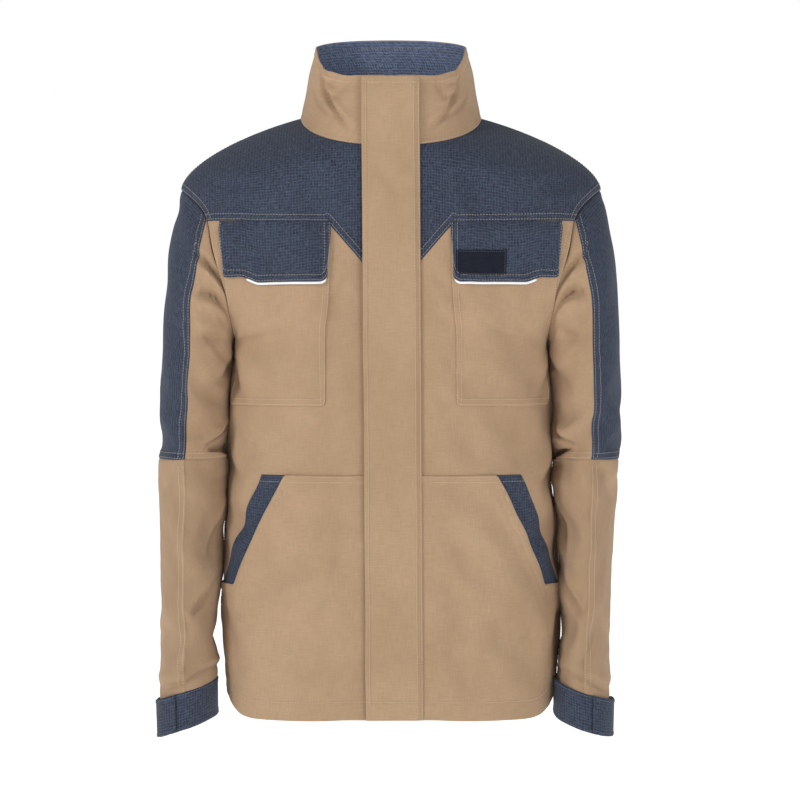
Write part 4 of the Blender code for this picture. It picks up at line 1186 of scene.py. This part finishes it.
def make_lower_front(side, surface):
    """The lower front lies on the front panel; its slanted edge is the mouth over the facing."""
    (top, top_z), (foot, foot_z) = MOUTH_TOP, MOUTH_FOOT

    def facing_place(a, b):
        near = foot - 0.014 + (top - foot + 0.002) * b
        far = foot + FACING_WIDTH + (top - foot) * b
        return near + (far - near) * a, foot_z - 0.004 + (top_z - foot_z + 0.004) * b

    folds = {"far": (0.0030, 0.0002), "high": (0.0085, 0.0003)}
    rows, columns = shares(0.15, far=fold_lines(0.0085)), shares(0.047, far=EDGE_LINES, step=0.002)
    facing = patch(surface, columns, rows, facing_place, height=0.0002, thickness=0.0008, folds=folds)
    add_sheet(f"{side}_pocket_facing", "body", facing, "navy")
    STITCHES.edges("body", "pale", facing, high=((0.0078,), 0.30, 0.98))

    corners = [top / 0.26, foot / 0.26]
    columns = np.unique(np.concatenate([shares(0.26, near=EDGE_LINES, far=fold_lines(TURN_WIDTH)), corners]))
    high = surface.seam(columns, mouth_height)
    rows = shares(0.27, near=fold_lines(HEM_WIDTH), far=fold_lines(0.0088), step=0.0028)
    v = between(0 * high, high, rows)
    inner = inner_edge(surface, v)
    s = inner + (1 - inner) * columns
    distance = surface.distance(s, v)
    below = mouth_height(distance) - surface.read(surface.points, s, v)[..., 2]
    over_facing = smooth(top - 0.022, top - 0.010, distance) * (1 - smooth(0.022, 0.038, below))
    gape = 0.0022 * bump(foot - 0.035, 0.030, distance) * (1 - smooth(0.0, 0.030, below))
    height = 0.0002 + 0.0010 * over_facing + gape
    folds = {"high": (0.0088, 0.0006), "low": HEM, "far": (TURN_WIDTH, 0.0004)}
    lower = Sheet(surface, s, v, height, folds=folds)
    add_sheet(f"{side}_lower_front", "body", lower, "tan")
    STITCHES.edges("body", "tan", lower, high=(DOUBLE, 0.11, 0.40))
    STITCHES.edges("body", "pale", lower, high=((0.0011,), 0.41, 0.80))
    STITCHES.edges("body", "tan", lower, low=HEM_ROW, far=((0.0030,), 0.02, 0.98))
    for share in (0.415, 0.795):
        STITCHES.sew("body", "tan", lower.line("high", 0.0035, share, share + 0.024), 0.0009, 0.0020)


# ---------------------------------------------------------------- chest pockets


def pocket_place(a, b):
    near, far, low, high = CHEST_POCKET
    distance = near + (far - near) * a
    foot = low + corner(distance - near, 0.005) + corner(far - distance, 0.005)
    return distance, foot + (high - foot) * b


def flap_foot(distance):
    """The flap's lower edge: rounded at its inner corner, and a step higher beyond the piping."""
    near, far, low, _ = CHEST_FLAP
    step = 0.0065 * smooth(near + 0.093, near + 0.120, distance)
    return low + step + corner(distance - near - 0.005, 0.010) + corner(far - distance, 0.004)


def flap_place(a, b):
    near, far, _, high = CHEST_FLAP
    foot = flap_foot(near + 0.005 + (far - near - 0.005) * a)
    z = foot + (high - foot) * b
    slant = 0.005 * (high - z) / (high - foot)
    far = far + 0.004 * (z - foot) / (high - foot)
    return near + slant + (far - near - slant) * a, z


def make_chest_pocket(side, surface):
    """The patch pocket, its flap with piping along the lower edge, and the tapes that close it."""
    folds = {"near": (0.0092, 0.0004), "low": (0.0092, 0.0004), "far": (0.0035, 0.0004)}
    columns = shares(0.135, near=fold_lines(0.0092), far=fold_lines(0.0035), step=0.0026)
    rows = shares(0.20, near=fold_lines(0.0092), step=0.0028)
    pocket = patch(surface, columns, rows, pocket_place, height=0.0002, folds=folds)
    add_sheet(f"{side}_chest_pocket", "body", pocket, "tan")
    double, single = (DOUBLE, 0.01, 0.99), ((0.0022,), 0.01, 0.99)
    STITCHES.edges("body", "tan", pocket, near=double, low=double, far=single)

    group = f"{side}_pocket_flap"
    rows, columns = shares(0.02, near=EDGE_LINES, step=0.002), shares(0.05, near=EDGE_LINES, step=0.002)
    for name, body, height in (("pocket_loop", "body", 0.0012), ("flap_hook", group, 0.0018)):
        options = {"height": height, "thickness": 0.0005, "folds": {"low": (0.001, 0.0)}}
        tape = patch(surface, columns, rows, box_place(*POCKET_TAPE), **options)
        add_sheet(f"{side}_{name}", body, tape, "pile")

    def lift(distance, z):
        near, far, low, high = CHEST_FLAP
        ends = bump(near, 0.010, distance) + bump(far, 0.014, distance)
        curl = (0.0012 + 0.0012 * ends) * (1 - smooth(low, low + 0.022, z))
        return -0.0002 + 0.0026 * smooth(0, 0.010, high - z) + curl

    folds = dict.fromkeys(("near", "low", "far"), (0.0088, 0.0005))
    columns = shares(0.134, near=fold_lines(0.0088), far=fold_lines(0.0088), step=0.0024)
    rows = shares(0.07, near=fold_lines(0.0088), step=0.0024)
    flap = patch(surface, columns, rows, flap_place, height=lift, folds=folds)
    add_sheet(f"{side}_chest_flap", group, flap, "navy")
    stitches = {"near": (DOUBLE, 0.12, 0.98), "low": (DOUBLE, 0.06, 0.96), "far": ((0.0022,), 0.05, 0.98)}
    STITCHES.edges(group, "pale", flap, **stitches)

    near = CHEST_FLAP[0]
    distance = np.linspace(near + 0.0065, near + 0.112, 80)
    s, v = surface.find(distance, flap_foot(distance) - 0.0013)
    points, normals = surface.at(s, v, 0.0038), surface.read(surface.normals, s, v)
    sweep(f"{side}_flap_piping", group, points, normals, 0.0015, "piping", flat=0.8)


def make_label(surface):
    """A plain dark badge on the left flap."""
    edges = ("near", "far", "low", "high")
    columns, rows = (shares(size, fold_lines(0.002), fold_lines(0.002), 0.002) for size in (0.064, 0.029))
    folds = dict.fromkeys(edges, (0.0020, 0.0004))
    label = patch(surface, columns, rows, box_place(*LABEL), height=0.0040, thickness=0.0009, folds=folds)
    add_sheet("chest_label", "left_pocket_flap", label, "badge")
    for edge in edges:
        line = label.line(edge, 0.0016, 0.02, 0.98)
        STITCHES.sew("left_pocket_flap", "blue", line, 0.0024, 0.0019, 0.00022)


# ---------------------------------------------------------------- collar and hanger


def make_collar(collars):
    """A tan stand collar lined in navy, closed along its rim."""
    columns = shares(0.27, near=EDGE_LINES)
    v = shares(0.088, near=fold_lines(0.0045), far=fold_lines(0.009), step=0.0024)[:, None]
    outsides, linings = [], []
    for side, _ in SIDES:
        folds = {"low": (0.0045, 0.0005), "high": (0.009, 0.0004)}
        s = 0.028 + (1 - 0.028) * columns
        outsides.append(Sheet(collars[side], s, v, -CLOTH, thickness=0.0011, folds=folds))
        inside, folds = collars[side].flipped(CLOTH), {"high": (0.010, 0.0003)}
        s = 0.060 + (1 - 0.060) * columns
        linings.append(Sheet(inside, s, 0.01 + 0.985 * v, 0.0, thickness=0.0016, folds=folds))
    outside, lining = outsides[0].joined(outsides[1], -1), linings[0].joined(linings[1], -1)
    add_sheet("collar", "body", outside, "tan")
    # The lining wears the navy painted 3.6 times brighter: painted light inside the collar.
    add_sheet("collar_lining", "body", lining, "lining")
    STITCHES.edges("body", "tan", outside, high=((0.0085,),), low=((0.0022,),))
    STITCHES.edges("body", "pale", lining, high=((0.0098,), 0.02, 0.98), low=((0.0030,), 0.02, 0.98))


def make_hanger_loop():
    """A strip across the inside of the back of the neck, standing off in the middle for a hook."""
    half, top = 0.034, NECK_BACK_Z + 0.020
    x = np.linspace(-half, half, 49)[None, :]
    off = 0.0080 * (1 - smooth(half - 0.018, half - 0.010, np.abs(x)))
    z = top - 0.010 * np.linspace(0, 1, 7)[:, None]
    points = np.stack(np.broadcast_arrays(x, NECK_BACK_Y - 0.0100 - off, z), -1)
    strip = Sheet(Surface(points[::-1], -1), *cells(49, 9), -0.0013, 0.0013)
    add_sheet("hanger_loop", "body", strip, "tape")
    for edge in ("low", "high"):
        STITCHES.sew("body", "blue", strip.line(edge, 0.0016), 0.0026, 0.0020, 0.00022)


# ---------------------------------------------------------------- zip and storm flap


FRONT_OUT = np.array([0, -1, FRONT_SLOPE]) / math.hypot(1, FRONT_SLOPE)
ZIP_BOTTOM_Z, ZIP_TOP_Z = 0.026, 0.742
SLIDER_TOP_Z, SLIDER_LENGTH = 0.738, 0.016
STORM_FLAP_OUT = 0.0042
SHARP = math.radians(40)


def front_points(x, z, out):
    """Points by the straight centre front: x to the side, at height z, this far out from it."""
    x, z, out = np.broadcast_arrays(*(np.asarray(value, float) for value in (x, z, out)))
    return np.stack([x, centre_y(-1, z), z], -1) + out[..., None] * FRONT_OUT


def blocks(name, group, boxes, look):
    """Boxes with chamfered ends by the centre front: each is (x0, x1, z0, z1, low, high)."""
    points, quads = [], []
    for x0, x1, z0, z1, low, high in boxes:
        chamfer = 0.22 * min(x1 - x0, z1 - z0, high - low)
        base = len(points)
        for out, inset in ((low, chamfer), (low + chamfer, 0), (high - chamfer, 0), (high, chamfer)):
            x, z = (x0 + inset, x1 - inset), (z0 + inset, z1 - inset)
            points += [(x[i], z[j], out) for i, j in ((0, 0), (1, 0), (1, 1), (0, 1))]
        quads += [(a, b, d, c) for a, c, d, b in tube_faces(4, 4, base)]
        quads += [(base + 3, base + 2, base + 1, base), (base + 12, base + 13, base + 14, base + 15)]
    x, z, out = np.array(points).T
    obj = add_mesh(name, group, front_points(x, z, out), quads, np.stack([x + out, z], -1), look)
    obj.data.set_sharp_from_angle(angle=SHARP)


def make_zip():
    """Ribbed tapes, interlocked teeth, and the box at the foot."""
    pitch, length = 0.0026, 0.0016
    z = np.linspace(0.012, ZIP_TOP_Z, 246)[:, None]
    for side, sign in SIDES:
        surface = Surface(front_points(sign * np.linspace(0.0026, 0.0145, 7)[None, :], z, -0.0034), sign)
        add_sheet(f"{side}_zip_tape", "body", Sheet(surface, *cells(7, 246), -0.0006, 0.0008), "tape")
        start = ZIP_BOTTOM_Z + (0 if sign > 0 else pitch / 2)
        near, far = sorted((-0.0009 * sign, 0.0030 * sign))
        root, end = sorted((0.0022 * sign, 0.0036 * sign))
        teeth = []
        for k in range(int((ZIP_TOP_Z - start) / pitch)):
            foot = start + k * pitch
            teeth.append((near, far, foot, foot + length, -0.0032, -0.0010))
            teeth.append((root, end, foot - 0.0002, foot + length + 0.0002, -0.0034, -0.0008))
        blocks(f"{side}_zip_teeth", "body", teeth, "brass")
    box = [(-0.0040, 0.0040, 0.013, 0.025, -0.0036, 0.0002), (-0.0028, 0.0028, 0.015, 0.023, -0.001, 0.0006)]
    blocks("zip_retainer_box", "body", box, "brass")


def make_slider():
    """The slider: a waisted plate with flanges and a lug, and the slotted pull that hangs from it."""
    low, high = SLIDER_TOP_Z - SLIDER_LENGTH, SLIDER_TOP_Z
    parts = [(-0.0062, 0.0062, low + 0.006, high, 0.0010, 0.0026)]
    parts.append((-0.0048, 0.0048, low, low + 0.0065, 0.0010, 0.0024))
    for sign in (1, -1):
        near, far = sorted((0.0046 * sign, 0.0062 * sign))
        parts.append((near, far, low + 0.004, high, -0.0015, 0.0014))
        near, far = sorted((0.0009 * sign, 0.0022 * sign))
        parts.append((near, far, low + 0.001, low + 0.009, 0.0020, 0.0038))
    parts.append((-0.0020, 0.0020, low + 0.006, low + 0.011, 0.0022, 0.0036))
    blocks("zip_slider", "slider", parts, "brass")

    sides, top = 24, low - 0.0008
    turn = 2 * math.pi * (np.arange(sides) + 0.5) / sides
    square = np.maximum(np.abs(np.cos(turn)), np.abs(np.sin(turn))) ** 0.7
    outlines = []
    for half_width, half_height, drop in ((0.0040, 0.0150, 0.0150), (0.0022, 0.0060, 0.0205)):
        x = half_width * np.cos(turn) / square * (1 + 0.16 * np.sin(turn))
        outlines.append((x, top - drop + half_height * np.sin(turn) / square))
    outer, inner = outlines
    layers = ((outer, 0.0017), (outer, 0.0027), (inner, 0.0027), (inner, 0.0017))
    points = np.concatenate([front_points(*outline, out) for outline, out in layers])
    uv = np.concatenate([np.stack(outline, -1) for outline, _ in layers])
    quads = []
    for layer in range(4):
        for k in range(sides):
            a, b = layer * sides + k, layer * sides + (k + 1) % sides
            c, d = (layer + 1) % 4 * sides + (k + 1) % sides, (layer + 1) % 4 * sides + k
            quads.append((a, b, c, d))
    pull = add_mesh("zip_pull", "pull", points, quads, uv, "brass")
    pull.data.set_sharp_from_angle(angle=SHARP)


def make_storm_flap(torso):
    """The flap over the zip: almost flat, bent down to its sewn edge on the front, its free edge wavering."""
    grid = (301, 38)
    z = np.linspace(0.0, RIM_FRONT_Z - 0.0016, grid[0])[:, None]
    across = np.linspace(0, 1, grid[1])[None, :]
    free = FLAP_FREE_X + 0.0075 - 0.0060 * z / RIM_FRONT_Z
    sewn = FLAP_SEWN_X - 0.0045 * z / RIM_FRONT_Z
    ripple = (0.0009 * noise(*grid, 16, 2)[0] + 0.0005 * noise(*grid, 40, 3)[0]) * (1 - 0.6 * across)
    front = torso["left_front"]
    seat_y = front.at(*front.find(sewn, z), 0.0013)[..., 1]
    seat = (centre_y(-1, z) - seat_y) * math.hypot(1, FRONT_SLOPE)
    seat = seat + (0.0012 - seat) * smooth(0.60, 0.65, z)
    down = smooth(0.86, 0.99, across)
    out = (STORM_FLAP_OUT + 0.0004 + ripple) * (1 - down) + seat * down
    out = out + 0.0006 * bump(0.0, 0.08, across) * np.sin(z * 30)
    waver = 0.0006 * noise(*grid, 12, 1)[0] * (1 - across)
    surface = Surface(front_points(free + (sewn - free) * across + waver, z, out), 1)
    surface.press(STORM_FLAP_CREASES)
    folds = {"near": (0.0055, 0.0005), "far": (0.0092, 0.0006), "high": (0.0085, 0.0004), "low": HEM}
    columns = shares(0.074, near=fold_lines(0.0055), far=fold_lines(0.0092), step=0.0022)
    rows = shares(0.75, near=fold_lines(HEM_WIDTH), far=fold_lines(0.0085), step=0.0028)
    flap = Sheet(surface, columns[None, :], rows[:, None], 0.0, 0.0011, folds)
    add_sheet("storm_flap", "storm_flap", flap, "tan")
    sides = {"near": ((0.0048,), 0.005, 0.99), "far": ((0.0020, 0.0084), 0.005, 0.99)}
    ends = {"high": ((0.0080,), 0.06, 0.92), "low": (*HEM_ROW, 0.06, 0.92)}
    STITCHES.edges("storm_flap", "tan", flap, **sides, **ends)

    low, high = 0.300, 0.640
    z = np.linspace(low, high, 120)[:, None]
    tape = Surface(front_points(np.linspace(-0.029, -0.013, 8)[None, :], z, STORM_FLAP_OUT - 0.0008), 1)
    add_sheet("storm_flap_hook", "storm_flap", Sheet(tape, *cells(8, 120), 0.0, 0.0006), "pile")
    columns, rows = np.linspace(0, 1, 8), np.linspace(0, 1, 120)
    place = box_place(0.012, 0.028, low, high)
    loop = patch(torso["right_front"], columns, rows, place, height=0.0003, thickness=0.0006)
    add_sheet("storm_flap_loop", "body", loop, "pile")


# ---------------------------------------------------------------- sleeves and cuffs


def make_sleeves(side, surface):
    """Four panels: navy outer and tan under panels down to the elbow, tan panels below it."""
    arm, forearm = f"{side}_arm", f"{side}_forearm"
    turned = fold_lines(SEAM_WIDTH)
    columns = shares(surface.lengths.mean() / 2, near=turned, far=turned)
    v = (ELBOW_V * shares(0.34, far=turned))[:, None]
    seam = 0.060 * np.clip(1 - v / 0.30, 0, 1) ** 1.3 + 0.040 * np.clip(1 - v / 0.10, 0, 1) ** 1.5
    seat = -CLOTH - 0.0010 * (1 - smooth(0, 0.012, v))
    folds = dict.fromkeys(("near", "far", "high"), (SEAM_WIDTH, 0.0006))
    panel = Sheet(surface, seam + (0.5 - seam) * columns, v, seat, folds=folds)
    add_sheet(f"{side}_upper_sleeve", arm, panel, "navy")
    STITCHES.edges(arm, "pale", panel, **dict.fromkeys(folds, (DOUBLE, 0.01, 0.99)))
    folds = {"high": (SEAM_WIDTH, 0.0005)}
    under = Sheet(surface, 0.5 + (0.5 + seam) * columns, v, seat - 0.0002, folds=folds)
    add_sheet(f"{side}_under_sleeve", arm, under, "tan")
    STITCHES.edges(arm, "tan", under, high=(DOUBLE, 0.01, 0.99))

    rows = shares(0.31, far=[0.002 * k for k in range(1, 13)])
    v = (ELBOW_V - 0.010 + (1.010 - ELBOW_V) * rows)[:, None]
    seat = -CLOTH - 0.0012 * (1 - smooth(ELBOW_V - 0.001, ELBOW_V + 0.004, v))
    folds = dict.fromkeys(("near", "far"), (SEAM_WIDTH, 0.0005))
    panel = Sheet(surface, 0.5 * columns, v, seat, folds=folds)
    add_sheet(f"{side}_lower_sleeve", forearm, panel, "tan")
    STITCHES.edges(forearm, "tan", panel, **dict.fromkeys(folds, (DOUBLE, 0.04, 0.94)))
    under = Sheet(surface, 0.5 + 0.5 * columns, v, seat - 0.0002)
    add_sheet(f"{side}_lower_under_sleeve", forearm, under, "tan")


def cuff_ring(start, seed):
    """The cuff's band, a little larger than the sleeve's end and lower on the outside, from this turn on."""
    turn = (start - np.linspace(0, 2 * math.pi, 241))[None, :]
    share = np.linspace(0, 1, 19)[:, None]
    outer_z, middle_y = CUFF_TOP_Z - CUFF_HEIGHT * share, -0.0355 - 0.004 * share
    points = ring_point(0.2715 - 0.002 * share, outer_z, 0.2030, outer_z + CUFF_TILT, middle_y, 0.0535, turn)
    wobble = 0.0011 * np.sin(3 * turn + seed) + 0.0008 * np.sin(5 * turn + 2 * seed) * share
    points = points + normals_of(points, -1) * wobble[..., None]
    points[..., 2] += 0.0012 * np.sin(2 * turn + seed)
    return points


def make_cuff(side, sign):
    """A double band, a tab over its slit, loop tape on the band and hook tape under the tab."""
    band_group, tab_group = f"{side}_cuff", f"{side}_tab"
    rings = [cuff_ring(math.radians(start), 0.8 * sign) * (sign, 1, 1) for start in (60, 90)]
    band, front = (Surface(ring - (SWAY[side], 0, 0), -sign) for ring in rings)
    columns = 0.010 + 0.980 * shares(0.30, near=EDGE_LINES, far=EDGE_LINES, step=0.0026)
    rows = shares(0.044, near=fold_lines(0.007), far=fold_lines(0.007), step=0.0024)[:, None]
    folds = dict.fromkeys(("low", "high"), (0.0070, 0.0004))
    cuff = Sheet(band, columns, rows, -CLOTH, 0.0018, folds)
    add_sheet(f"{side}_cuff", band_group, cuff, "navy")
    STITCHES.edges(band_group, "blue", cuff, **dict.fromkeys(folds, ((0.0022,), 0.01, 0.99)))
    turned = fold_lines(0.0045)
    columns, rows = (shares(length, near=turned, far=turned, step=0.0024) for length in (0.075, 0.044))
    folds = dict.fromkeys(("near", "far", "low", "high"), (0.0045, 0.0004))
    tab = Sheet(front, 0.040 + 0.250 * columns, rows[:, None], 0.0022, 0.0013, folds)
    add_sheet(f"{side}_cuff_tab", tab_group, tab, "navy")
    STITCHES.edges(tab_group, "blue", tab, **dict.fromkeys(("low", "high", "far"), ((0.0034,), 0.05, 0.95)))
    columns = 0.190 + 0.090 * np.linspace(0, 1, 12)
    rows = 0.25 + 0.50 * np.linspace(0, 1, 10)[:, None]
    for name, group, height in (("cuff_loop", band_group, 0.0010), ("cuff_hook", tab_group, 0.0016)):
        add_sheet(f"{side}_{name}", group, Sheet(front, columns, rows, height, 0.0005), "pile")


# ---------------------------------------------------------------- the jacket and its studio


FLAP_TOP_Z = CHEST_FLAP[3]
STITCHES = Stitches()
BENDS = bends()
SHIFTED = ("left", "right", "back", "collar", "storm", "chest", "hanger")
CLOTH_SHIFT = {name: RANDOM.uniform(0, 1, 2) for name in SHIFTED}


LOOKS = {
    "tan": tan_canvas(),
    "navy": navy_ripstop("navy ripstop", 1.0),
    # The collar lining: the navy ripstop with its colours 3.6 times brighter, painted light falling into the
    # collar.
    "lining": navy_ripstop("collar lining", 3.6),
    "tan thread": thread("tan thread", (0.66, 0.50, 0.34)),
    "pale thread": thread("pale thread", (0.36, 0.33, 0.30)),
    "blue thread": thread("blue thread", (0.12, 0.15, 0.22)),
    "piping": reflective(),
    "pile": pile("hook and loop", (0.030, 0.035, 0.050)),
    "badge": badge(),
    "tape": tape(),
    "brass": metal("antique brass", (0.55, 0.42, 0.24), 0.35),
}


def main():
    torso = settle_torso()
    arms = settle_sleeves(torso)
    collars = collar_surfaces()
    for side, sign in SIDES:
        front = torso[f"{side}_front"]
        make_front(side, front)
        make_lower_front(side, front)
        make_chest_pocket(side, front)
        make_sleeves(side, arms[side])
        make_cuff(side, sign)
    make_back(torso)
    make_label(torso["left_front"])
    make_collar(collars)
    make_hanger_loop()
    make_zip()
    make_slider()
    make_storm_flap(torso)
    STITCHES.finish()


def area_light(name, place, size, power):
    data = bpy.data.lights.new(name, "AREA")
    data.size = size
    data.energy = power
    light = bpy.data.objects.new(name, data)
    light.location = place
    light.rotation_euler = (Vector((0, 0, 0.45)) - light.location).to_track_quat("-Z", "Y").to_euler()
    bpy.context.scene.collection.objects.link(light)


def white_world():
    """Plain white where the camera sees it, and a softer light on the jacket."""
    made = bpy.data.worlds.new("studio")
    made.use_nodes = True
    nodes, links_of = made.node_tree.nodes, made.node_tree.links
    path = nodes.new("ShaderNodeLightPath")
    strength = nodes.new("ShaderNodeMapRange")
    strength.inputs["To Min"].default_value = 0.42
    strength.inputs["To Max"].default_value = 1.0
    links_of.new(path.outputs["Is Camera Ray"], strength.inputs["Value"])
    background = nodes["Background"]
    background.inputs["Color"].default_value = (1, 1, 1, 1)
    links_of.new(strength.outputs["Result"], background.inputs["Strength"])
    bpy.context.scene.world = made


def studio():
    """A pale floor well under the hanging jacket, a white backdrop, soft lights and the camera."""
    data = bpy.data.cameras.new("camera")
    data.lens = 116
    data.sensor_width = 36
    camera = bpy.data.objects.new("camera", data)
    bpy.context.scene.collection.objects.link(camera)
    camera.location = Vector((0.0108, -3.10, 0.440)) + Vector(FOOT)
    target = Vector((0.0108, 0, 0.3684)) + Vector(FOOT)
    camera.rotation_euler = (target - camera.location).to_track_quat("-Z", "Y").to_euler()
    bpy.context.scene.camera = camera
    white_world()
    bpy.context.scene.view_settings.view_transform = "Standard"
    area_light("key", (-2.5, -1.9, 1.9), 0.8, 46)
    area_light("fill", (2.0, -2.8, 0.9), 1.4, 27)

    mesh = bpy.data.meshes.new("floor")
    half = 60
    corners = [(-half, -half, -0.55), (half, -half, -0.55), (half, half, -0.55), (-half, half, -0.55)]
    mesh.from_pydata(corners, [], [(0, 1, 2, 3)])
    floor = bpy.data.objects.new("floor", mesh)
    bpy.context.scene.collection.objects.link(floor)
    pale = Nodes("floor")
    material = pale.finish((0.9, 0.9, 0.9, 1), 0.9)
    shader = material.node_tree.nodes["Principled BSDF"]
    shader.inputs["Emission Color"].default_value = (1, 1, 1, 1)
    shader.inputs["Emission Strength"].default_value = 0.75
    mesh.materials.append(material)


main()
studio()
